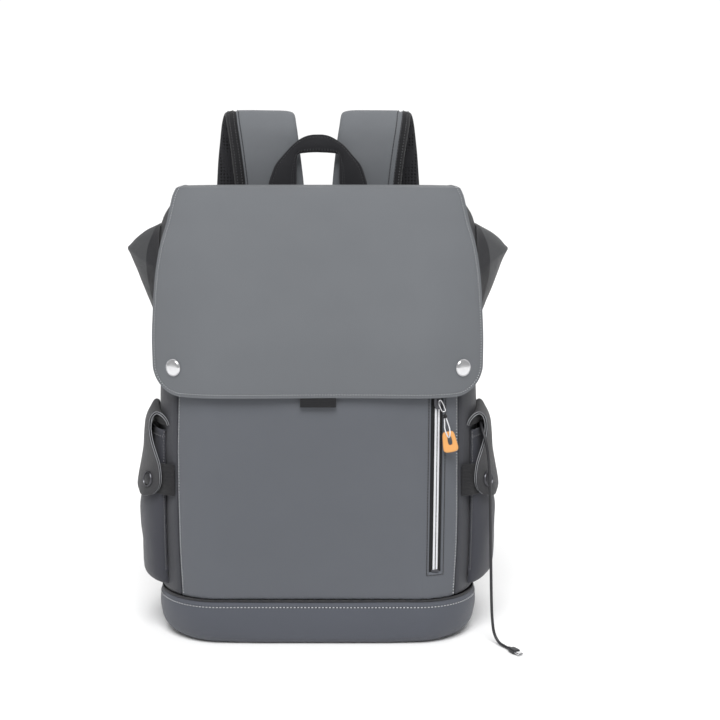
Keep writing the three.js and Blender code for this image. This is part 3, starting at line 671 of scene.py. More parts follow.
def outline(height):
    """Half width, front face, corner radius and the lengths of the half outline's five stretches."""
    half, front, radius = BASE_ROW if height < WALL_FOOT - 1e-6 else WALL_ROWS(height)
    straight = (half - radius, BACK_Y - BACK_RADIUS - front - radius, half - BACK_RADIUS)
    lengths = (straight[0], radius * QUARTER, straight[1], BACK_RADIUS * QUARTER, straight[2])
    return half, front, radius, lengths


def half_round(height):
    """Length of half the outline, from the front's middle to the back's."""
    return sum(outline(height)[3])


def rim(height, along, out=0.0):
    """The outline's point at a distance from the front's middle, negative on the left, moved out."""
    half, front, radius, lengths = outline(height)
    side, rest, leg = math.copysign(1, along), abs(along), 0
    while leg < 4 and rest > lengths[leg]:
        rest -= lengths[leg]
        leg += 1
    share = min(rest / lengths[leg], 1)
    turn = share * QUARTER
    corner_x, corner_y = half - radius, front + radius
    rear_x, rear_y = half - BACK_RADIUS, BACK_Y - BACK_RADIUS
    grown, rear_grown = radius + out, BACK_RADIUS + out
    x, y = (
        (share * corner_x, front - out),
        (corner_x + grown * math.sin(turn), corner_y - grown * math.cos(turn)),
        (half + out, corner_y + share * (rear_y - corner_y)),
        (rear_x + rear_grown * math.cos(turn), rear_y + rear_grown * math.sin(turn)),
        (rear_x * (1 - share), BACK_Y + out),
    )[leg]
    return np.array([side * x, y, height])


def wall_grid(heights, shares):
    return np.array([[rim(z, share * half_round(z)) for share in shares] for z in heights])


def front_y(x, height):
    """The front face's y at an x, round the front corners too."""
    half, front, radius, _ = outline(height)
    past = abs(x) - (half - radius)
    return front if past <= 0 else front + radius - math.sqrt(max(radius**2 - past**2, 0))


def soften(grid, *waves, closed=False):
    """Moves a grid in and out by smooth lumps: (depth, size, seed) for each."""
    normal = facing(grid, closed)
    for depth, size, seed in waves:
        grid = grid + normal * (depth * lumps(grid, size, seed))[..., None]
    return grid


def seam_pucker(grid, depth=0.0004, pitch=0.011, reach=0.016, sides="lrtb"):
    """The small ripples that stitching pulls into cloth beside a seam."""
    u, v = runs(grid)
    near = (1 - ease(border(grid, sides) / reach)) ** 2
    wave = np.sin((u + v) * 2 * math.pi / pitch) * (0.6 + 0.4 * lumps(grid, 0.03, 11))
    return grid + facing(grid) * (depth * near * wave)[..., None]


# ---------------- walls and base

SEAM_SHARE = 0.0012
ZIP_EDGES = (0.107, 0.1186)
ZIP_ENDS = (0.072, 0.258)
ZIP_MIDDLE = 0.1128
KNOT_AT = (0.1196, 0.2272)
TAG_REACH = 0.036              # how far from its knot the leather tag sweeps
INNER_HALF = 0.1235            # the front's evenly woven middle reaches this far each way
STRAIGHT_SEAM = 0.1335         # where the side seam is, or farther out, all along the zip
FRONT_BULGE = 0.0022           # how far the front stands out between its seams
UNDER_ZIP = 0.0695             # the row of stitches below the zip


def front_panel():
    """The front, from side seam to side seam, with the zip's slot left open."""
    heights = np.unique(np.concatenate([
        spaced(WALL_FOOT, MOUTH, 0.0042, 0.008), ZIP_ENDS, ZIP_ENDS[0] + np.array([-0.0008, 0.0008]),
    ]))
    near = np.array([0, 0.0003, 0.0007, 0.0012])
    inner = np.unique(np.concatenate([
        np.linspace(-INNER_HALF, 0.1, 64), np.linspace(0.1, ZIP_EDGES[0] - 0.0012, 5), ZIP_EDGES[0] - near,
        spaced(*ZIP_EDGES, 0.003, 0.0012), ZIP_EDGES[1] + near, [INNER_HALF],
    ]))
    towards_seam = np.array([0.25, 0.5, 0.7, 0.82, 0.9, 0.95, 0.98, 1])
    grid = []
    for z in heights:
        seam = rim(z, (SIDE_SEAM - SEAM_SHARE) * half_round(z))[0]
        squeezed = inner * min(1, seam / STRAIGHT_SEAM)
        outer = squeezed[-1] + (seam - squeezed[-1]) * towards_seam
        grid.append([(x, front_y(x, z), z) for x in [*-outer[::-1], *squeezed, *outer]])
    flat = np.array(grid)
    x, z = flat[..., 0], flat[..., 2]
    beside = np.maximum(np.abs(x - sum(ZIP_EDGES) / 2) - (ZIP_EDGES[1] - ZIP_EDGES[0]) / 2, 0)
    beyond = np.maximum(np.maximum(ZIP_ENDS[0] - z, z - ZIP_ENDS[1]), 0)
    slot = np.hypot(beside, beyond)
    from_tag = np.hypot(x - KNOT_AT[0], z - KNOT_AT[1])
    calm = (ease((slot - 0.002) / 0.02) * ease((from_tag - TAG_REACH) / 0.02))[..., None]
    bulge = FRONT_BULGE * np.sin(np.clip((z - WALL_FOOT) / 0.2, 0, 1) * math.pi) * (1 - (x / 0.14) ** 2)
    grid = flat - np.stack([0 * x, bulge, 0 * x], axis=-1)
    grid = seam_pucker(soften(grid, (0.0011, 0.09, 3), (0.0003, 0.03, 5)))
    grid = flat + (grid - flat) * calm
    inside = lambda a, low, high: (a > low + 1e-6) & (a < high - 1e-6)
    middle = (grid[:-1, :-1] + grid[1:, 1:]) / 2
    skip = inside(middle[..., 0], *ZIP_EDGES) & inside(middle[..., 2], *ZIP_ENDS)
    # The front look is the grey cloth painted darker: painted shade under the flap.
    made = panel("front_panel_cloth", grid, WALL, ("front", "lining", "front"), seam=(0.0016, 0.0055),
                 skip=skip, drop=rolled(slot, 0.0012) * 0.9)
    ride(made, "bag", "grey_cloth", "front_panel")
    seams = [[rim(z, sign * (SIDE_SEAM * half_round(z) - 0.0042)) for z in heights[3:-3]]
             for sign in (-1, 1)]
    mouth = [rim(MOUTH - 0.012, d) for d in np.linspace(-0.128, 0.128, 60)]
    sew("grey_cloth", "front_panel_stitching", [*seams, mouth], [made])
    beside_zip = (ZIP_EDGES[0] - 0.0024, ZIP_EDGES[1] + 0.0022)
    rows = [[(x, z) for z in np.linspace(UNDER_ZIP, ZIP_ENDS[1], 60)] for x in beside_zip]
    rows.append([(x, UNDER_ZIP) for x in np.linspace(*beside_zip, 8)])
    sew("grey_cloth", "zip_stitching", [[(x, front_y(x, z), z) for x, z in row] for row in rows], [made],
        look_name="dark_thread")


def side_panels():
    shares = spaced(SIDE_SEAM + SEAM_SHARE, BACK_SEAM - SEAM_SHARE, 0.0095, 0.012)
    for name, side in SIDES:
        heights = spaced(WALL_FOOT, COLLAR_FOOT - 0.0004, 0.0048, 0.006)
        grid = soften(wall_grid(heights, shares), (0.0012, 0.06, 7 + side), (0.0004, 0.022, 9 + side))
        # The side look is the grey cloth painted darker: painted shade on the sides.
        made = panel(f"{name}_side_cloth_painted_shade", mirrored(seam_pucker(grid), side), WALL,
                     ("side", "lining", "side"), seam=(0.0018, 0.0055))
        ride(made, "bag", "grey_cloth", f"{name}_side_panel")
        heights = spaced(COLLAR_FOOT + 0.0004, MOUTH, 0.0045, 0.006)
        grid = soften(wall_grid(heights, shares), (0.0009, 0.035, 13 + side))
        collar = panel(f"{name}_collar_cloth", mirrored(grid, side), WALL,
                       ("handle", "lining", "handle"), seam=(0.0012, 0.004))
        ride(collar, "bag", "black_webbing", f"{name}_collar_gusset")


def back_panel():
    heights = spaced(WALL_FOOT, BACK_TOP, 0.006, 0.008)
    right = spaced(BACK_SEAM + SEAM_SHARE, 1.0, 0.016, 0.012)[:-6]
    grid = soften(wall_grid(heights, [*right, *-right[::-1]]), (0.0008, 0.07, 21))
    ride(panel("back_panel_cloth", grid, 0.004, ("dark", "lining", "dark"), seam=(0.0016, 0.005)),
         "bag", "dark_cloth", "back_panel")


def base_radius(share):
    """Radius of the base's lower edge at a share of the half outline: softer at the sides."""
    side = ease((share - 0.12) / 0.3) - ease((share - 0.46) / 0.16)
    return BASE_ROUND + (SIDE_ROUND - BASE_ROUND) * side


def base_band():
    """The base: a flat bottom, a rounded lower edge and a band up to the seam."""
    around = np.linspace(-1, 1, 241)[:-1]
    total = half_round(BASE_LEVEL)
    radii = [base_radius(abs(share)) for share in around]

    def ring(place_at):
        points = []
        for share, radius in zip(around, radii):
            z, inset = place_at(radius)
            point = rim(BASE_LEVEL, share * total, -inset)
            points.append((point[0], point[1], z))
        return np.array(points)

    def edge_ring(angle, depth):
        return ring(lambda r: (r - (r - depth) * math.cos(angle), r - (r - depth) * math.sin(angle)))

    edge = [edge_ring(a, 0) for a in np.radians([0, 12, 25, 38, 50, 63, 76, 90])]
    bottom = [edge[0] * np.array([k, k, 1]) for k in (0.1, 0.5, 0.85)]
    top_of_band = BASE_TOP - 0.005
    band = [ring(lambda r: (r + (top_of_band - r) * t, -0.0012 * math.sin(t * math.pi)))
            for t in np.linspace(0.15, 1, 6)]
    top = [ring(lambda r: (BASE_TOP - drop, inset)) for drop, inset in
           ((0.0036, 0.0002), (0.0022, 0.0009), (0.0011, 0.0017), (0.0003, 0.0026), (0.0004, 0.0032))]
    inside = [edge_ring(a, WALL) for a in np.radians([90, 65, 40, 15])]
    outer = np.array([*bottom, *edge, *band, *top, *inside])
    standing = ease((outer[..., 2:] - 0.002) / 0.01)
    wrinkles = 0.0007 * lumps(outer, 0.05, 31) + 0.00035 * lumps(outer, 0.018, 33)
    outer = outer + unit(outer * LEVEL) * wrinkles[..., None] * standing
    # The base look is the grey cloth painted darker: painted shade low on the bag.
    made = loft("base_band", outer, ("base",))
    ride(made, "bag", "grey_cloth", "base_shell")
    line = ring(lambda r: (BASE_TOP - 0.0056, -0.001))
    sew("grey_cloth", "base_stitching", [np.vstack([line, line[:1]])], [made], pitch=0.0034, stitch=0.0025)
    # A dark bead round the seam above the base: painted shadow standing for the seam's crease.
    rings = [[at + (unit(at * LEVEL) * math.cos(a) + np.array([0, 0, 1]) * math.sin(a)) * PIPING_RADIUS
              for a in circle(10)] for at in ring(lambda r: ((BASE_TOP + WALL_FOOT) / 2, PIPING_INSET))]
    ride(loft("base_seam_shadow_bead", rings + rings[:1], ("dark",), capped=False), "bag", "grey_cloth")


# ---------------- flap

FLAP_ROWS = table([
    [245, 157, -85.5, 26], [273, 157.3, -84.5, 26], [300, 157.5, -82, 26], [325, 156.7, -76.5, 24],
    [347, 155.5, -70.5, 21], [367, 153.5, -63.5, 18], [389, 149.6, -55, 13], [407, 144.5, -45.5, 9],
    [424, 141, -35.5, 5], [434, 138.5, -27, 2], [438.5, 136.4, -20.5, 0],
])
FLAP_FOOT = 0.245
FLAP_CREASE = 0.4385
FLAP_FLAT = 0.092
FLAP_CORNER = 0.028
FLAP_THICK = 0.003
LID_FRONT = np.array([-0.0176, 0.4392])
LID_BACK = np.array([0.0535, 0.4374])
LID_HALF = (0.1364, 0.1338)
LID_DROOP = 0.0008             # how far the lid's outer ends hang
HEEL_PROFILE = (               # y and z of the cloth that joins the lid to the back
    (0.0515, 0.4360), (0.0545, 0.4364), (0.0575, 0.4364), (0.0605, 0.4362), (0.064, 0.4357),
    (0.0672, 0.4345), (0.0688, 0.4325), (0.0695, 0.4297), (0.0697, 0.4250), (0.0698, 0.4200),
    (0.0698, 0.4190))
SNAP = (0.136, 0.2725, 0.0083)
SNAP_DOME = ((0.45, 0.00255), (0.7, 0.0023), (0.82, 0.0019), (0.89, 0.0013), (0.915, 0.0009),
             (0.935, 0.0009), (0.955, 0.0012), (0.985, 0.0011), (1, 0.0006), (0.99, 0.0), (0.9, -0.0005))
FRONT_TAB_PROFILE = (
    (0.0009, 0.262), (0.0012, 0.250), (0.0022, 0.242), (0.0034, 0.2385), (0.0040, 0.2372),
    (0.0046, 0.2370), (0.0050, 0.2376), (0.0052, 0.2400), (0.0040, 0.2470), (0.0032, 0.2520))


def flap_at(x, height):
    half, middle, back = FLAP_ROWS(height)
    bend = max(0, (abs(x) - FLAP_FLAT) / (half - FLAP_FLAT))
    return np.array([x, middle + back * min(bend, 1) ** 2, height])


def flap_foot(x, half):
    past = min(max(0, abs(x) - (half - FLAP_CORNER)), FLAP_CORNER)
    return FLAP_FOOT + FLAP_CORNER - math.sqrt(FLAP_CORNER**2 - past**2)


def flap_grid():
    half = FLAP_ROWS(FLAP_FOOT)[0]
    turn = np.radians(np.linspace(0, 90, 19))
    corner = (half - FLAP_CORNER + FLAP_CORNER * np.sin(turn)) / half
    right = np.concatenate([np.linspace(0, corner[0], 34)[:-1], corner])
    shares = np.concatenate([-right[:0:-1], right])
    rows = []
    for t in spaced(0, 1, 0.021, 0.02):
        row = []
        for share in shares:
            z = flap_foot(share * half, half) * (1 - t) + FLAP_CREASE * t
            row.append(flap_at(share * FLAP_ROWS(z)[0], z))
        rows.append(row)
    for t in spaced(0, 1, 0.07, 0.05)[1:]:
        y, z = LID_FRONT + (LID_BACK - LID_FRONT) * t
        width = LID_HALF[0] + (LID_HALF[1] - LID_HALF[0]) * t
        rows.append([(share * width, y, z + 0.0012 * math.sin(t * math.pi) - LID_DROOP * abs(share) ** 6)
                     for share in shares])
    grid = np.array(rows)
    z = grid[..., 2:]
    hanging = ease((FLAP_CREASE - z) / 0.05)
    low = 1 - ease((z - FLAP_FOOT) / 0.13)
    wavy = soften(grid, (0.0016, 0.11, 41), (0.0005, 0.04, 43))
    wave = np.sin(grid[..., :1] * 2 * math.pi / 0.19 + 0.6) * 0.0011 * low
    wavy = wavy + wave * np.array([0, 1, 0])
    return grid + (wavy - grid) * hanging


def flap():
    """The flap in one cloth, from its hanging edge over the fold to the seam behind."""
    grid = flap_grid()
    cloth_made = panel("flap_cloth", grid, FLAP_THICK, ("grey", "lining", "edge"), round_to=0.3)
    rows, columns = grid.shape[:2]
    edge = [(r, 0) for r in range(rows - 1, 0, -1)] + [(0, c) for c in range(columns)]
    edge += [(r, columns - 1) for r in range(1, rows)]
    thread = stitches("flap_stitching", [hem_line(grid, edge, 0.0034)], [cloth_made],
                      pitch=0.0026, stitch=0.0018, radius=0.0004)
    for piece in (cloth_made, thread):
        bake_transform(piece)
    dress(cloth_made, "grey_cloth", "flap_front", "flap_top")
    dress(thread, "grey_cloth")

    heel = [[(s * 0.1325, y, z - LID_DROOP * abs(s) ** 6) for s in np.linspace(-1, 1, 60)]
            for y, z in HEEL_PROFILE]
    heel = seam_pucker(np.array(heel), 0.0002, sides="tb")
    strip = panel("flap_hinge_strip", heel, 0.0016, ("grey", "lining", "grey"))
    rows = [[(x, y, z) for x in np.linspace(-0.129, 0.129, 80)]
            for y, z in ((0.0565, 0.4370), (0.0705, 0.4225))]
    sewn = stitches("hinge_strip_stitching", rows, [strip], look_name="dark_thread")
    for piece in (strip, sewn):
        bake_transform(piece)
        dress(piece, "grey_cloth")
    return cloth_made


def flap_snaps(cloth_made):
    """Domed steel caps on the flap, each on its own bit of the surface."""
    tree = surface_of(cloth_made)
    for name, side in SIDES:
        at, normal, _, _ = tree.find_nearest(Vector(flap_at(side * SNAP[0], SNAP[1])))
        if normal.y > 0:
            normal.negate()
        profile = [(0.0004, 0.0026), *((SNAP[2] * share, height) for share, height in SNAP_DOME),
                   (0.0004, -0.0006)]
        cap = turned(f"{name}_flap_snap", profile, at, normal, ("steel",), around=56)
        ride(cap, "flap_apron", "polished_steel", f"{name}_flap_snap_cap")


def front_tab():
    """A folded tab of webbing that peeps out below the flap's edge."""
    y = front_y(0, 0.245)
    line = spline([(0, y - out, z) for out, z in FRONT_TAB_PROFILE], np.linspace(0, 1, 40))
    grid = np.array([[p + np.array([x, 0, 0]) for x in spaced(-0.017, 0.017, 0.0028, 0.002)] for p in line])
    made = panel("front_tab_webbing", grid[::-1], 0.0009, ("webbing",) * 3)
    ride(made, "bag", "black_webbing", "front_tab")


# ---------------- ears of the folded collar

EAR_ROWS = table([
    [313, 163, -3, 22], [325, 169, -12, 28], [345, 178.5, -22, 38], [357, 185, -25.5, 41.5],
    [361, 187.3, -26.6, 42.5], [366, 184.6, -24.5, 41], [379, 176, -18, 35], [391, 165.5, -11, 29],
    [402, 155.4, -5, 24],
])
EAR_ROOT = 0.1535
EAR_SPREAD = 1.3               # the ear's foot on the collar, beside its creased part
EAR_RISE = 0.53                # how much each ring climbs towards the tip, per metre outwards
EAR_DARK = 12                  # columns of the dark strip
EAR_BLUR = 0.006               # spacing of the heights averaged to round the ear's side outline
EAR_COLUMNS = 49
EAR_POINT = 1.35               # how sharply the ear comes to its crease
EAR_LEVEL_AT = 0.155           # the distance out where a ring is at its nominal height
COLLAR_STRIP = table([[313, 159], [361, 166], [374, 166.3], [384, 164.6], [396, 160], [409, 154],
                      [424, 146]])       # the dark strip's outer edge


def ear_places(nominal, out):
    """Places across one ring of the ear, from -1 to 1: the last dark one is on the strip's edge."""
    x = out
    for _ in range(4):
        x = COLLAR_STRIP(nominal + (x - EAR_LEVEL_AT) * EAR_RISE)[0]
    ratio = min(max((x - EAR_ROOT) / (out - EAR_ROOT), 0.03), 0.97)
    edge = -math.asin(math.sqrt(1 - ratio ** (1 / EAR_POINT)))
    return np.sin(np.concatenate([np.linspace(-QUARTER, edge, EAR_DARK + 1),
                                  np.linspace(edge, QUARTER, EAR_COLUMNS - EAR_DARK)[1:]]))


def ears():
    """The collar's folded corners: a crease out to a tip, dark towards the flap and grey beyond."""
    nominals = np.concatenate([np.linspace(0.313, 0.357, 22), np.linspace(0.3585, 0.3635, 6),
                               np.linspace(0.366, 0.402, 18)])
    for name, side in SIDES:
        rings = []
        for nominal in nominals:
            out = EAR_ROWS(nominal)[0]
            near = [EAR_ROWS(nominal + EAR_BLUR * k)[1:] for k in (-2, -1, 0, 1, 2)]
            front, back = np.average(near, axis=0, weights=(1, 2, 3, 2, 1))
            middle, half = (front + back) / 2, (back - front) / 2 * EAR_SPREAD
            ring = []
            for c in ear_places(nominal, out):
                x = EAR_ROOT + (out - EAR_ROOT) * (1 - c**2) ** EAR_POINT
                ring.append((x, middle + c * half, nominal + (x - EAR_LEVEL_AT) * EAR_RISE))
            rings.append(ring)
        grid = np.array(rings)
        free = ease((grid[..., 0] - 0.156) / 0.012)[..., None]
        folded = soften(grid, (0.0015, 0.03, 51 + side), (0.0006, 0.011, 53 + side))
        grid = grid + (folded - grid) * free
        picks = np.zeros((len(grid) - 1, grid.shape[1]), int)
        picks[:, :EAR_DARK] = 1
        if side < 0:
            picks = np.roll(picks[:, ::-1], -1, axis=1)
        # The ear's grey look is the grey cloth painted darker as shade.
        ear = loft(f"{name}_ear_cloth_painted_shade", mirrored(grid, side), ("ear", "handle"), picks)
        ride(ear, "bag", "grey_cloth", f"{name}_folded_ear")


# ---------------- side pockets and their tabs

POCKET_SPAN = (0.155, 0.258)
POCKET_TOP = 0.208
POCKET_RISE = 0.005            # how much higher the mouth is at the rear
POCKET_FOOT = 0.053
POCKET_ROUND = 0.013
POCKET_DEPTH = table([[45, 19.5], [100, 19.5], [125, 19], [150, 14.5], [165, 12.4], [185, 10], [213, 7.6]])
POCKET_THICK = 0.0022
ELASTIC_START = 0.141          # the elastic's front end, along the outline


def pocket_grid():
    """The right-hand pocket's outer face, from its front seam round to its rear one."""
    middle, half = sum(POCKET_SPAN) / 2, (POCKET_SPAN[1] - POCKET_SPAN[0]) / 2
    turns = np.concatenate([[0, 0.012, 0.03, 0.06], np.linspace(0.1, math.pi - 0.1, 52),
                            math.pi - np.array([0.06, 0.03, 0.012, 0])])
    rises = [(POCKET_FOOT + POCKET_ROUND * (1 - math.cos(a)), math.sin(a) ** 0.6)
             for a in np.radians([0, 1.5, 4, 8, 14, 22, 31, 41, 52, 63, 76, 90])]
    rises += [(z, 1) for z in spaced(POCKET_FOOT + POCKET_ROUND, POCKET_TOP, 0.0042, 0.004)[3:]]
    rows = []
    for z, scale in rises:
        row = []
        for turn in turns:
            full = math.sin(turn) ** 0.72
            height = z + POCKET_RISE * (1 - math.cos(turn)) / 2 * ease((z - 0.12) / (POCKET_TOP - 0.12))
            gape = 0.0022 * ease((z - 0.18) / 0.028) * max(0, math.sin(turn - 0.5)) ** 2
            row.append(rim(height, middle - half * math.cos(turn),
                           0.0005 + (POCKET_DEPTH(z)[0] * scale + gape) * full))
        rows.append(row)
    return np.array(rows)


def side_pockets():
    grid = pocket_grid()
    heights = spaced(0.145, 0.1765, 0.0016, 0.001)
    along = spaced(ELASTIC_START, 0.162, 0.0014, 0.001)

    def lift(z, d):
        """How far the elastic stands off the side: rising to the rear, ribbed and a little domed."""
        run = d - ELASTIC_START
        return (0.0015 + run * 0.38 + 0.00035 * math.sin((z - ELASTIC_START) * 2 * math.pi / 0.0042)
                + 0.0008 * math.sin(run / 0.021 * math.pi))

    for name, side in SIDES:
        free = ease(border(grid, "lrb") / 0.02)[..., None]
        shaped = soften(grid, (0.0021, 0.042, 61 + side), (0.0007, 0.017, 63 + side))
        shaped = seam_pucker(grid + (shaped - grid) * free, 0.0005, sides="lrb")
        shaped = mirrored(shaped, side)
        # The pocket's outer look is the grey cloth painted darker as shade on the side; its inner face is
        # painted shadow.
        made = panel(f"{name}_pocket_cloth_painted_shade", shaped, POCKET_THICK, ("pocket", "black", "edge"),
                     seam=(0.0008, 0.004), seam_sides="lrb")
        ride(made, "bag", "grey_cloth", f"{name}_side_pocket")
        rows, columns = shaped.shape[:2]
        lines = [hem_line(shaped, [(rows - 1, c) for c in range(columns - 1, -1, -1)], 0.0065)[2:-2]]
        for end in (-1, 1):
            column = 0 if side == -end else columns - 1
            lines.append(hem_line(shaped, [(r, column) for r in range(12, rows)], 0.0032 * side * end))
        sew("grey_cloth", f"{name}_pocket_stitching", lines, [made], look_name="seam_thread")
        band = np.array([[rim(z, d, lift(z, d)) for d in along] for z in heights])
        elastic = panel(f"{name}_pocket_elastic_band", mirrored(band, side), 0.0011, ("webbing",) * 3)
        ride(elastic, "bag", "black_webbing", f"{name}_pocket_elastic")


TAB_FRONT = np.array([
    [143.8, -57.5, 213.3], [145.2, -57, 217.3], [147.6, -56, 220.6], [150.7, -54.5, 223.2],
    [155.1, -53, 224.6], [158.8, -52, 222.2], [161, -51.3, 217.8], [161.9, -51, 212],
    [161.5, -52, 205], [159.8, -54, 196.5], [156.5, -57.7, 186.5], [153.4, -60.8, 177],
    [151.7, -63, 166], [151.6, -63, 158.5], [153.8, -61, 151.5], [159, -57, 145.5],
]) * MM
TAB_BACK = np.array([
    [157.2, -9, 219.3], [157, -9, 223], [157.2, -9, 226.2], [158.2, -8.8, 228.6],
    [160.1, -8.5, 228.9], [162, -8.5, 227], [163.7, -9, 222.8], [165.3, -9.5, 216.5],
    [167.1, -10.5, 208.5], [169, -12.5, 198], [170.8, -15, 187], [172.5, -17.5, 177],
    [174.3, -20.5, 166], [175.6, -23.5, 157.5], [176.2, -27.5, 149], [173, -36, 142.5],
]) * MM
TAB_BOW = 0.0036
ROOT_BOW = 0.0069
TAB_FOLD = 0.25                # share of the tab where it leaves its sewn root
TAB_END_BULGE = 0.003
TAB_SHARES = np.concatenate([np.linspace(0, 0.9, 76), np.linspace(0.9, 1, 14)[1:]])
TAB_SNAP_AT = (0.1628, -0.049, 0.1589)
TAB_SNAP_RADIUS = 0.0071
TAB_SNAP_DOME = ((0.5, 0.0019), (0.74, 0.0014), (0.80, 0.0008), (0.84, 0.0007), (0.87, 0.0002),
                 (0.8, -0.0002))
TAB_SNAP_COLLAR = ((0.82, 0.0002), (0.86, 0.0013), (0.92, 0.0018), (1, 0.0017), (1.07, 0.0010),
                   (1.08, 0.0001), (0.95, -0.0004))


def tab_grid():
    """The right-hand tab's middle surface, from its sewn root to its round end, facing outwards."""
    front, back = spline(TAB_FRONT, TAB_SHARES), spline(TAB_BACK, TAB_SHARES)
    across = spaced(0, 1, 0.045, 0.06)
    domed = 1 - (2 * across - 1) ** 2
    rows = []
    for share, a, b in zip(TAB_SHARES, front, back):
        bulge = TAB_END_BULGE * ease((share - 0.9) / 0.1)
        rows.append([b + (a - b) * s + np.array([0, 0, -1]) * bulge * d for s, d in zip(across, domed)])
    grid = np.array(rows)
    bow = TAB_BOW * ease(TAB_SHARES / TAB_FOLD - 1) - ROOT_BOW * (1 - ease(2 * TAB_SHARES / TAB_FOLD - 1))
    return grid + facing(grid) * (bow[:, None] * domed)[..., None]


def pocket_tabs():
    grid = soften(tab_grid(), (0.0007, 0.03, 71))
    for name, side in SIDES:
        middle = mirrored(grid, side)
        normal = facing(middle)
        # The inner ply's inner face is painted shadow, near-black.
        outer, inner = [
            panel(f"{name}_tab_{ply}_ply", middle + normal * lift, 0.0014, ("dark", lining, "edge"),
                  round_to=0.3)
            for ply, lift, lining in (("outer", 0.0018, "dark"), ("inner", -0.0002, "black"))]
        rows, columns = middle.shape[:2]
        keep = int(rows * 0.93)
        left, right, foot = [hem_line(middle, edge, 0.0034) for edge in (
            [(r, 0) for r in range(rows - 1, -1, -1)], [(r, columns - 1) for r in range(rows)],
            [(rows - 1, c) for c in range(columns - 1, -1, -1)])]
        thread = stitches(f"{name}_tab_stitching", [left[rows - keep:], foot[3:-3], right[:keep]], [outer],
                          pitch=0.0027, stitch=0.0019, radius=0.00036)
        replaced = ((f"{name}_tab_root", f"{name}_pocket_tab"), (), ())
        for piece, nodes in zip((outer, inner, thread), replaced):
            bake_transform(piece)
            dress(piece, "dark_cloth", *nodes)
        away = np.linalg.norm(middle - np.array(TAB_SNAP_AT) * (side, 1, 1), axis=2)
        row, column = np.unravel_index(np.argmin(away), away.shape)
        at, out = middle[row, column] + normal[row, column] * 0.0018, normal[row, column]
        dome, collar = [[(TAB_SNAP_RADIUS * share, height) for share, height in profile]
                        for profile in (TAB_SNAP_DOME, TAB_SNAP_COLLAR)]
        cap = turned(f"{name}_tab_snap_cap", [(0.0003, 0.0021), *dome, (0.0003, -0.0003)], at, out,
                     ("plastic",))
        ride(cap, f"{name}_tab", "dark_metal", f"{name}_tab_snap")
        ring = turned(f"{name}_tab_snap_ring", [*collar, collar[0]], at, out, ("gunmetal",))
        ride(ring, f"{name}_tab", "dark_metal")


# ---------------- zip

SLIDER_TOP = 0.2445
ZIP_PLANE = -0.0804
PULLER_AT = (0.1143, 0.242)
PULLER_LEAN = math.radians(24)
TAG_LEAN = math.radians(11)
TAG_SECTION = (                # the leather's section, from its outline to the slot, and its depth
    (0, 0.0001), (0, -0.0009), (0.08, -0.00125), (0.22, -0.0013), (0.8, -0.0013),
    (0.95, -0.0012), (1, -0.0009), (1, 0.0001), (0.92, 0.0004), (0.08, 0.0004))


def zip_gap(z):
    """How far a side of the zip has parted at a height: shut below the slider, open above it."""
    return 0.0016 * ease((z - 0.2405) / 0.012)


def hung(x, z, at, lean, y=ZIP_PLANE):
    """A point of something that hangs from a place on the front, leaning to the right."""
    return np.array([at[0] + x * math.cos(lean) - z * math.sin(lean), y,
                     at[1] + x * math.sin(lean) + z * math.cos(lean)])


def zip_parts():
    heights = spaced(ZIP_ENDS[0] + 0.0004, ZIP_ENDS[1] - 0.0004, 0.005, 0.002)
    across = spaced(ZIP_EDGES[0] + 0.0003, ZIP_EDGES[1] - 0.0003, 0.0014, 0.001)
    tape = np.array([[(x, front_y(x, z) + 0.0017, z) for x in across] for z in heights])
    ride(panel("zip_tape_weave", tape, 0.0008, ("webbing",) * 3), "bag", "black_webbing", "zip_tape")

    strips, teeth = [], []
    for sign, word in ((-1, "left"), (1, "right")):
        grid = []
        for z in spaced(ZIP_ENDS[0] + 0.003, ZIP_ENDS[1] - 0.001, 0.003, 0.0015):
            row = []
            for share in np.linspace(0, 1, 9):
                x = ZIP_MIDDLE + sign * (0.00005 + zip_gap(z) + share * 0.0026)
                row.append((x, front_y(x, z) + 0.0002 - 0.0005 * math.sin(share * math.pi), z))
            grid.append(row[::sign])
        strips.append(panel(f"zip_strip_{word}", np.array(grid), 0.0009, ("silver",) * 3))
        teeth.append([(ZIP_MIDDLE + sign * (0.0001 + zip_gap(z)), front_y(ZIP_MIDDLE, z), z)
                      for z in np.linspace(ZIP_ENDS[0] + 0.003, ZIP_ENDS[1] - 0.002, 120)])
    ride(strips[0], "bag", "silver_zip", "zip_coil")
    ride(strips[1], "bag", "silver_zip")
    sew("silver_zip", "zip_coil_teeth", teeth, strips, pitch=0.0013, stitch=0.0009, radius=0.0003,
        look_name="edge")

    slider_parts()
    puller_and_tag()


def slider_parts():
    """The slider's body: a shield with waisted sides, and the bridge that holds the puller."""
    face = ZIP_PLANE + 0.0016
    rings = []
    for depth, size in ((0.0017, 0.9), (0.0014, 1), (0.0004, 1), (0.0, 0.94), (-0.0001, 0.82),
                        (-0.0001, 0.05)):
        ring = []
        for a in circle(48):
            x = bent(math.cos(a), 0.6) * 0.0040 * (0.86 + 0.14 * math.sin(a))
            z = bent(math.sin(a), 0.6) * 0.0055
            ring.append((ZIP_MIDDLE + x * size, face + depth, SLIDER_TOP - 0.0055 + z * size))
        rings.append(ring)
    made = loft("zip_slider_body", rings, ("gunmetal",), sharp=40)
    ride(made, "slider", "dark_metal", "zip_slider")
    line = spline([(ZIP_MIDDLE, face + out, SLIDER_TOP - down) for out, down in (
        (0.0003, 0.0015), (-0.0016, 0.0022), (-0.0021, 0.0045), (-0.0016, 0.0068), (0.0003, 0.0076))],
        np.linspace(0, 1, 24))
    bridge = rope("zip_slider_bridge", line, 0.00075, ("gunmetal",), around=12)
    ride(bridge, "slider", "dark_metal")


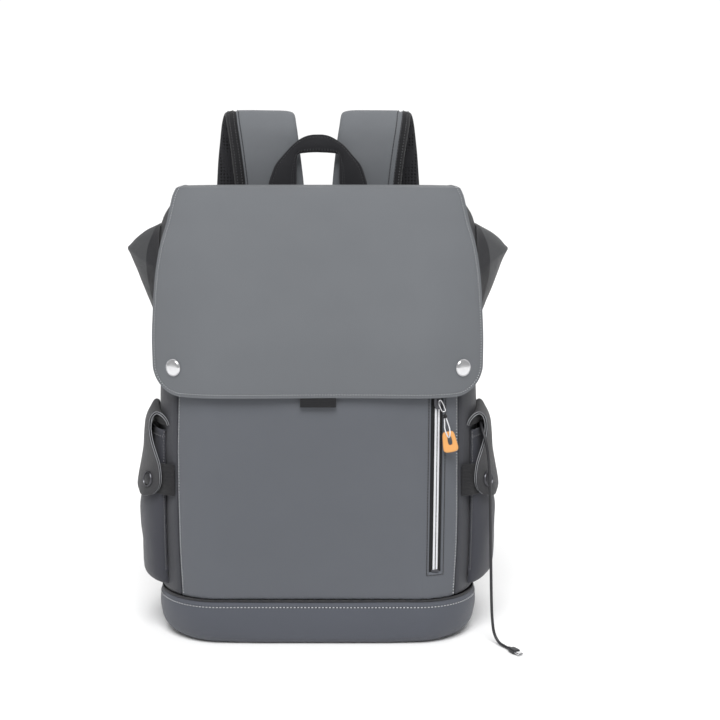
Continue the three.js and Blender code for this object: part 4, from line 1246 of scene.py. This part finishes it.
def loop_line(half, low, high, count=64):
    """A rounded loop in its own x and z, closed."""
    return [(bent(math.cos(a), 0.55) * half, (low + high) / 2 + bent(math.sin(a), 0.7) * (high - low) / 2)
            for a in np.linspace(0, 2 * math.pi, count)]


def puller_and_tag():
    line = [hung(x, z, PULLER_AT, PULLER_LEAN) for x, z in loop_line(0.0019, -0.0113, 0.0002)]
    wire = rope("zip_puller_wire", line, 0.00055, ("steel",), around=10)
    ride(wire, "puller", "polished_steel", "zip_puller")

    for k, (tilt, size) in enumerate(((0.5, 1.0), (-0.6, 0.92), (1.4, 0.8))):
        ring = []
        for a in np.linspace(0, 2 * math.pi, 40):
            x, y = math.cos(a) * 0.0016 * size, math.sin(a) * 0.0014 * size
            ring.append(np.array([KNOT_AT[0] + x * math.cos(tilt), ZIP_PLANE + y,
                                  KNOT_AT[1] + x * math.sin(tilt) + (k - 1) * 0.0006]))
        part = rope(f"zip_knot_turn_{k + 1}", ring, 0.00095, ("webbing",), around=10)
        ride(part, "tag", "black_webbing", *(("cord_knot",) if k == 0 else ()))

    for sign, word in ((-1, "left"), (1, "right")):
        line = spline([hung(sign * x, z, KNOT_AT, TAG_LEAN, ZIP_PLANE + out) for x, z, out in (
            (0.0006, -0.0010, 0), (0.0014, -0.0060, 0), (0.0022, -0.0120, 0), (0.0018, -0.0160, -0.0019),
            (0.0009, -0.0196, -0.0012), (0.0002, -0.0208, 0))], np.linspace(0, 1, 40))
        leg = rope(f"tag_cord_{word}", line, 0.00062, ("silver",), around=10)
        ride(leg, "tag", "silver_zip", *(("tag_cord",) if sign < 0 else ()))
    leather_tag()


def leather_tag():
    """The tan leather tag: wider at its rounded foot, with a slot through it."""
    rings = []
    for a in circle(96):
        c, s = math.cos(a), math.sin(a)
        z = -0.0245 + bent(s, 0.4) * 0.0095
        half = 0.0055 + 0.0021 * (z + 0.015) / -0.019
        x = bent(c, 0.3) * half
        if s < 0:
            z -= 0.0012 * (1 - (x / half) ** 2)
        hole = (0.0004 + bent(c, 0.6) * 0.0020, -0.0238 + bent(s, 0.75) * 0.0044)
        rings.append([hung(x + (hole[0] - x) * share, z + (hole[1] - z) * share, KNOT_AT, TAG_LEAN,
                           ZIP_PLANE + y) for share, y in TAG_SECTION])
    picks = [1, 0, 0, 0, 0, 0, 1, 0, 0, 0]
    made = loft("zip_leather_tag", rings + rings[:1], ("leather", "raw_leather"), picks, capped=False,
                sharp=50)
    ride(made, "tag", "tan_leather", "leather_tag")


# ---------------- handle

HANDLE_OUTER = [(-50.8, 431), (-50.4, 438), (-47.9, 447), (-43.8, 457), (-35.6, 467), (-25.4, 477.8),
                (-14.2, 485.3), (-6, 487.7), (0, 488)]
HANDLE_INNER = [(-21.9, 431), (-21.8, 438), (-21.7, 447), (-21.6, 456), (-21.5, 463.5), (-20.6, 467.4),
                (-12, 469.2), (0, 469.8)]
HANDLE_SEAMS = (0.12, 0.8, 0.9)
HANDLE_Y = 0.074
HANDLE_HALF = 0.0033


def top_handle():
    shares = np.linspace(0, 1, 46)
    sides = []
    for points in (HANDLE_OUTER, HANDLE_INNER):
        half = spline([(x * MM, 0, z * MM) for x, z in points], shares)
        sides.append(np.concatenate([half, (half * np.array([-1, 1, 1]))[-2::-1]]))
    outer, inner = sides
    rings = []
    for a, b in zip(outer, inner):
        ring = []
        for t in circle(36):
            share = 0.5 - 0.5 * bent(math.cos(t), 0.55)
            crown = 0.82 + 0.18 * (1 - (2 * share - 1) ** 2)
            groove = 0.0008 * sum(math.exp(-((share - at) / 0.03) ** 2) for at in HANDLE_SEAMS)
            lift = bent(math.sin(t), 0.45) * (HANDLE_HALF * crown - groove)
            ring.append(a + (b - a) * share + np.array([0, HANDLE_Y - lift, 0]))
        rings.append(ring)
    made = loft("top_handle_cloth", soften(np.array(rings), (0.0005, 0.018, 81), closed=True), ("handle",))
    seams = [outer + (inner - outer) * share + np.array([0, HANDLE_Y + face * HANDLE_HALF, 0])
             for share in HANDLE_SEAMS for face in (-1, 1)]
    thread = stitches("top_handle_stitching", seams, [made], look_name="dark_thread", radius=0.00028)
    for piece in (made, thread):
        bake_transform(piece)
    dress(made, "black_webbing", "top_handle")
    dress(thread, "black_webbing")


# ---------------- back pads, by cloth simulation


PAD_Y = 0.0722
PAD_LOWEST = 0.0704            # no point of a pad is farther in than this


def rounded(half, high, radius, inset, count=96):
    """A rounded rectangle's outline, moved in by an inset."""
    w, h = half - inset, high - inset
    r = max(min(radius - inset * 0.5, w, h), 0.0005)
    points = []
    for k, (cx, cz) in enumerate(((1, 1), (-1, 1), (-1, -1), (1, -1))):
        for a in np.linspace(0, QUARTER, count // 4):
            angle = k * QUARTER + a
            points.append((cx * (w - r) + r * math.cos(angle), 0, cz * (h - r) + r * math.sin(angle)))
    return even(points + points[:1], count + 1)[:-1]


def cushion(name, half, high, radius, centre, low, thick, looks):
    """A flat pad with rounded edges whose face looks towards the wearer."""
    small = min(half, high)
    levels = ((small * 0.96, 0), (small * 0.6, 0), (0.006, 0), (0.0015, 0.12), (0, 0.38), (0.0006, 0.62),
              (0.003, 0.86), (0.008, 0.97), (small * 0.5, 1), (small * 0.96, 1))
    rings = [rounded(half, high, radius, inset) + np.array([centre[0], low + thick * level, centre[1]])
             for inset, level in levels]
    return loft(name, rings, looks)


SWELL_FRAMES = 20


def swell(pads, cap=0.006, pressure=4.0, voxel=0.0045):
    """Swells the pads by cloth simulation, all in one run, no point moving more than the cap."""
    scene = bpy.context.scene
    started = []
    for pad in pads:
        remesh = pad.modifiers.new("remesh", "REMESH")
        remesh.mode = "VOXEL"
        remesh.voxel_size = voxel
        apply_modifiers(pad)
        started.append(np.array([v.co for v in pad.data.vertices]))
        held = pad.modifiers.new("cloth", "CLOTH")
        held.settings.use_pressure = True
        held.settings.uniform_pressure_force = pressure
        held.settings.effector_weights.gravity = 0
        held.settings.quality = 6
    scene.frame_start, scene.frame_end = 1, SWELL_FRAMES
    for frame_number in range(1, SWELL_FRAMES + 1):
        scene.frame_set(frame_number)
    for pad, before in zip(pads, started):
        apply_modifiers(pad)
        after = np.array([v.co for v in pad.data.vertices])
        moved = after - before
        length = np.linalg.norm(moved, axis=1, keepdims=True)
        moved = moved * np.minimum(1, cap / np.maximum(length, 1e-9))
        set_points(pad, before + moved)
        smooth = pad.modifiers.new("smooth", "SUBSURF")
        smooth.levels = 1
        apply_modifiers(pad)
    scene.frame_set(1)


def apply_modifiers(piece):
    shape = piece.evaluated_get(bpy.context.evaluated_depsgraph_get())
    mesh = bpy.data.meshes.new_from_object(shape)
    piece.modifiers.clear()
    old, piece.data = piece.data, mesh
    bpy.data.meshes.remove(old)
    mesh.shade_smooth()


def set_points(piece, points):
    piece.data.vertices.foreach_set("co", np.asarray(points, np.float32).ravel())
    piece.data.update()


def back_pads():
    specs = [(f"{name}_back_pad", 0.0455, 0.0795, 0.016, (side * 0.062, 0.300)) for name, side in SIDES]
    specs.append(("lumbar_pad", 0.1095, 0.0555, 0.018, (0, 0.138)))
    pads = [cushion(f"{name}_foam", half, high, radius, at, PAD_Y, 0.0062, ("mesh",))
            for name, half, high, radius, at in specs]
    swell(pads)
    for pad, (name, half, high, radius, at) in zip(pads, specs):
        channels = [at[1] + step for step in ((-0.04, 0, 0.04) if high > half else (-0.018, 0.018))]
        points = np.array([v.co for v in pad.data.vertices])
        sewn = np.max([np.exp(-((points[:, 2] - z) / 0.0032) ** 2) for z in channels], axis=0)
        inside = ease((half - 0.012 - np.abs(points[:, 0] - at[0])) / 0.008)
        outer = ease((points[:, 1] - 0.074) / 0.004)
        points[:, 1] -= 0.0034 * sewn * inside * outer
        points[:, 1] = np.maximum(points[:, 1], PAD_LOWEST)
        set_points(pad, points)
        rows = [[(x, 0.09, z) for x in np.linspace(at[0] - half + 0.014, at[0] + half - 0.014, 60)]
                for z in channels]
        ride(pad, "bag", "air_mesh", name)
        sew("air_mesh", f"{name}_stitching", rows, [pad], look_name="dark_thread")
        line = rounded(half + 0.0012, high + 0.0012, radius, 0) + np.array([at[0], PAD_Y, at[1]])
        ride(bead(f"{name}_binding", line, 0.0026, 0.0021, 14), "bag", "black_webbing")

    yoke = cushion("strap_yoke_cloth", 0.094, 0.020, 0.006, (0, 0.410), 0.0706, 0.0076, ("grey",))
    ride(yoke, "bag", "grey_cloth", "strap_yoke")
    row = rounded(0.0905, 0.0165, 0.004, 0) + np.array([0, 0.09, 0.410])
    sew("grey_cloth", "strap_yoke_stitching", [np.vstack([row, row[:1]])], [yoke])


# ---------------- shoulder straps

STRAP_PATH = np.array([
    [49.5, 84.2, 412], [50, 84.4, 435], [54, 87, 470], [58, 93, 496], [60.6, 104.5, 508],
    [64.5, 117, 499], [68, 123.5, 474], [72, 126, 434], [79, 124, 380], [88, 116, 310],
    [98, 106, 240], [106, 98, 180],
]) * MM
STRAP_WIDTHS = np.array([71, 72, 71, 66, 57, 48]) * MM
STRAP_THICK = 0.009
STRAP_BAND = 0.011             # the dark border on the outer side
STRAP_ROWS = 130


def strap_section(width, thick, side):
    """One ring round the strap: its outer face left to right, then its mesh face back again."""
    pairs, picks = [], []
    places = spaced(-0.5, 0.5, 0.05, 0.06)
    step = 0.5 - STRAP_BAND / width

    def height(s):
        return thick / 2 * (1 - abs(2 * s) ** 7) ** 0.5 * (0.84 + 0.16 * (1 - (2 * s) ** 2))

    for s in places:
        groove = 0.0011 * math.exp(-(((s * side - step) * width) / 0.0013) ** 2)
        pairs.append((s * width, max(height(s) - groove, 0.0001)))
        picks.append(1 if s * side > step else 0)
    for s in places[-2:0:-1]:
        pairs.append((s * width, -height(s)))
        picks.append(2)
    return pairs, picks


def shoulder_straps():
    shares = np.linspace(0, 1, STRAP_ROWS)
    end = ease((shares - 0.965) / 0.035)
    widths = np.interp(shares, np.linspace(0, 1, len(STRAP_WIDTHS)), STRAP_WIDTHS) * (1 - 0.22 * end**2)
    thicks = STRAP_THICK * (1 - 0.6 * end) * (1 - 0.25 * ease((0.05 - shares) / 0.05))
    across = np.array([1.0, 0, 0])
    for name, side in SIDES:
        line = even(spline(STRAP_PATH * np.array([side, 1, 1]), np.linspace(0, 1, 700)), STRAP_ROWS)
        up = unit(np.cross(across, np.gradient(line, axis=0)))
        sections = [strap_section(w, t, side) for w, t in zip(widths, thicks)]
        rings = np.array([[at + across * s + lift * h for s, h in pairs]
                          for at, lift, (pairs, _) in zip(line, up, sections)])
        rings = soften(rings, (0.0006, 0.035, 91 + side), closed=True)
        strap = loft(f"{name}_strap_padding", rings, ("grey", "webbing", "mesh"), sections[0][1])
        rows = [np.array([at + across * side * (w / 2 - inset) + lift * 0.006
                          for at, w, lift in zip(line, widths, up)])[4:-4]
                for inset in (STRAP_BAND + 0.0018, STRAP_BAND - 0.0022, 0.0026)]
        thread = stitches(f"{name}_strap_stitching", rows, [strap], look_name="dark_thread")
        for piece in (strap, thread):
            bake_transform(piece)
        dress(strap, "grey_cloth", f"{name}_strap_riser", f"{name}_shoulder_strap")
        dress(thread, "grey_cloth")
        webbing_parts(name, side)


def ribbon(name, points, width, thick, count=40):
    """A flat band of webbing along a path, its width across x."""
    line = even(spline(points, np.linspace(0, 1, 300)), count)
    grid = np.array([[at + np.array([s, 0, 0]) for s in spaced(-width / 2, width / 2, 0.003, 0.0012)]
                     for at in line])
    return panel(name, grid + facing(grid) * thick / 2, thick, ("webbing",) * 3)


WEBBING_WIDTH = 0.025
LOWER_WEBBING = np.array([
    [108, 98.6, 171], [108, 97.2, 163], [108.6, 94.6, 158], [113, 87, 110], [116.5, 79, 60],
    [117, 77, 48], [117.4, 75.4, 34], [117.6, 75.2, 24]])
WEBBING_TAIL = np.array([[108, 101.6, 168], [108.2, 102.4, 162], [109, 103.6, 145], [110, 104, 120],
                         [111.5, 103, 74]])
TAIL_FOLD = np.array([[111.4, 103.2, 84], [111.5, 102.2, 76], [111.5, 104.2, 73.6], [111.5, 105.4, 76],
                      [111.4, 105.2, 86]])
LOCK_KEEPER = np.array([
    [105.4, 100.6, 190], [106.6, 100.2, 180], [107.6, 100.4, 174], [107.8, 98.4, 170.4],
    [107.6, 95.4, 174], [106.6, 95.6, 181], [105.6, 96.6, 190]])


def webbing_parts(name, side):
    scale = np.array([side, 1, 1]) * MM
    lower = ribbon(f"{name}_lower_strap", LOWER_WEBBING * scale, WEBBING_WIDTH, 0.0017)
    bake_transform(lower)
    dress(lower, "black_webbing", f"{name}_lower_webbing")
    for part, points, thick, count, nodes in (
            ("strap_tail", WEBBING_TAIL, 0.0017, 40, (f"{name}_webbing_tail",)),
            ("tail_fold", TAIL_FOLD, 0.0015, 26, ()), ("lock_keeper", LOCK_KEEPER, 0.0015, 40, ())):
        made = ribbon(f"{name}_{part}", points * scale, WEBBING_WIDTH, thick, count)
        ride(made, f"{name}_strap", "black_webbing", *nodes)

    left, right, low, high = 0.098, 0.131, 0.016, 0.047
    rows = []
    for z in spaced(low, high, 0.003, 0.003):
        start = left + (0.104 - left) * (z - low) / (high - low)
        rows.append([(right + (start - right) * t, 0.0741, z) for t in spaced(0, 1, 0.1, 0.1)])
    patch = panel(f"{name}_anchor_patch", mirrored(soften(np.array(rows), (0.0004, 0.02, 95)), side), 0.0038,
                  ("dark", "dark", "edge"))
    ride(patch, "bag", "dark_cloth", f"{name}_webbing_anchor")
    a, b, c, d = (0.1055, 0.0205), (0.1275, 0.0205), (0.1275, 0.0425), (0.1075, 0.0425)
    box_stitch = [(side * x, 0.080, z) for x, z in (a, b, c, d, a, c, b, d)]
    sew("dark_cloth", f"{name}_anchor_stitching", [box_stitch], [patch, lower])


# ---------------- inside, and the lead's ends


DIVIDER = (0.1235, 0.1445, 0.014)    # half width, half height and corner radius


def divider():
    made = cushion("laptop_divider_cloth", *DIVIDER, (0, 0.155), 0.0442, 0.0046, ("lining",))
    ride(made, "bag", "dark_cloth", "laptop_divider")
    line = rounded(*DIVIDER, 0) + np.array([0, 0.0465, 0.155])
    ride(bead("laptop_divider_binding", line, 0.0016, 0.0028, 12), "bag", "dark_cloth")


def box_rings(start, along, across, up, stations, count=32, power=0.4):
    """Rings of a rounded box along a line: (distance, half width, half height) at each station."""
    return [[start + along * distance + across * bent(math.cos(a), power) * half
             + up * bent(math.sin(a), power) * high for a in circle(count)]
            for distance, half, high in stations]


def lead_connector():
    """The lead's far end: a tapered strain relief, a moulded grip and a metal tongue."""
    end, before = LEAD_ROUTE[-1], LEAD_ROUTE[-2]
    along = unit((end - before) * LEVEL)
    across = np.array([-along[1], along[0], 0])
    up = np.array([0, 0, 1.0])
    start = end * LEVEL + up * 0.0023
    grip = box_rings(start, along, across, up, [
        (0.00035, 0.0016, 0.0013), (0.0006, 0.0026, 0.0018), (0.0014, 0.0034, 0.0021),
        (0.003, 0.0037, 0.0022), (0.0085, 0.0038, 0.0022), (0.0098, 0.0037, 0.0021),
        (0.0104, 0.0034, 0.0019), (0.0105, 0.001, 0.0006)])
    tip = box_rings(start, along, across, up, [
        (0.0100, 0.0032, 0.00105), (0.0158, 0.0032, 0.00105), (0.0162, 0.0031, 0.001),
        (0.0163, 0.0027, 0.0007), (0.0163, 0.0024, 0.0005), (0.0120, 0.0023, 0.0004),
        (0.0120, 0.0004, 0.0001)], power=0.7)
    relief = box_rings(start, along, across, up, [
        (-0.0052, 0.00145, 0.00115), (-0.005, 0.00155, 0.00125), (-0.0018, 0.0019, 0.0016),
        (0.0006, 0.0023, 0.0018), (0.0007, 0.001, 0.0008)], power=1.0)
    relief[:2] = [[point - up * 0.0005 for point in ring] for ring in relief[:2]]
    parts = [loft(name, rings, (look_name,), sharp=sharp) for name, rings, look_name, sharp in (
        ("connector_grip", grip, "jacket", 40), ("connector_shell", tip, "steel", 40),
        ("connector_relief", relief, "jacket", 55))]
    for part, nodes in zip(parts, (("usb_connector",), (), ())):
        ride(part, "bag", "lead_jacket", *nodes)
    return parts


def keep_cad(name, look_name, width=0.0005):
    """A CAD piece whose shape is right: rounded edges and a proper finish."""
    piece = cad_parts[name]
    piece.data.materials.clear()
    piece.data.materials.append(LOOKS[look_name])
    edge = piece.modifiers.new("edges", "BEVEL")
    edge.width = width
    edge.segments = 3
    edge.limit_method = "ANGLE"
    edge.harden_normals = False
    piece.data.shade_smooth()
    piece.data.set_sharp_from_angle(angle=math.radians(35))


# ---------------- the scene

make_camera()
make_studio()
lead = make_lead()
connector = lead_connector()
front_panel()
side_panels()
back_panel()
base_band()
flap_cloth = flap()
flap_snaps(flap_cloth)
front_tab()
ears()
side_pockets()
pocket_tabs()
zip_parts()
top_handle()
back_pads()
shoulder_straps()
divider()

for name in ("left_ladder_lock", "right_ladder_lock", "usb_port"):
    keep_cad(name, "plastic")
keep_cad("usb_plug", "jacket", 0.0009)
keep_cad("base_board", "board", 0.0004)
keep_cad("zip_bottom_stop", "gunmetal", 0.0002)
for side_name, _ in SIDES:
    keep_cad(f"{side_name}_flap_snap_socket", "steel", 0.0002)
    keep_cad(f"{side_name}_pocket_snap_stud", "steel", 0.0002)

ground = bpy.data.meshes.new("floor")
ground.from_pydata([(-6, -6, 0), (6, -6, 0), (6, 6, 0), (-6, 6, 0)], [], [(0, 1, 2, 3)])
ground.materials.append(look("floor_paint", tone(249, 249, 249), 0.9))
floor = linked("floor", ground)
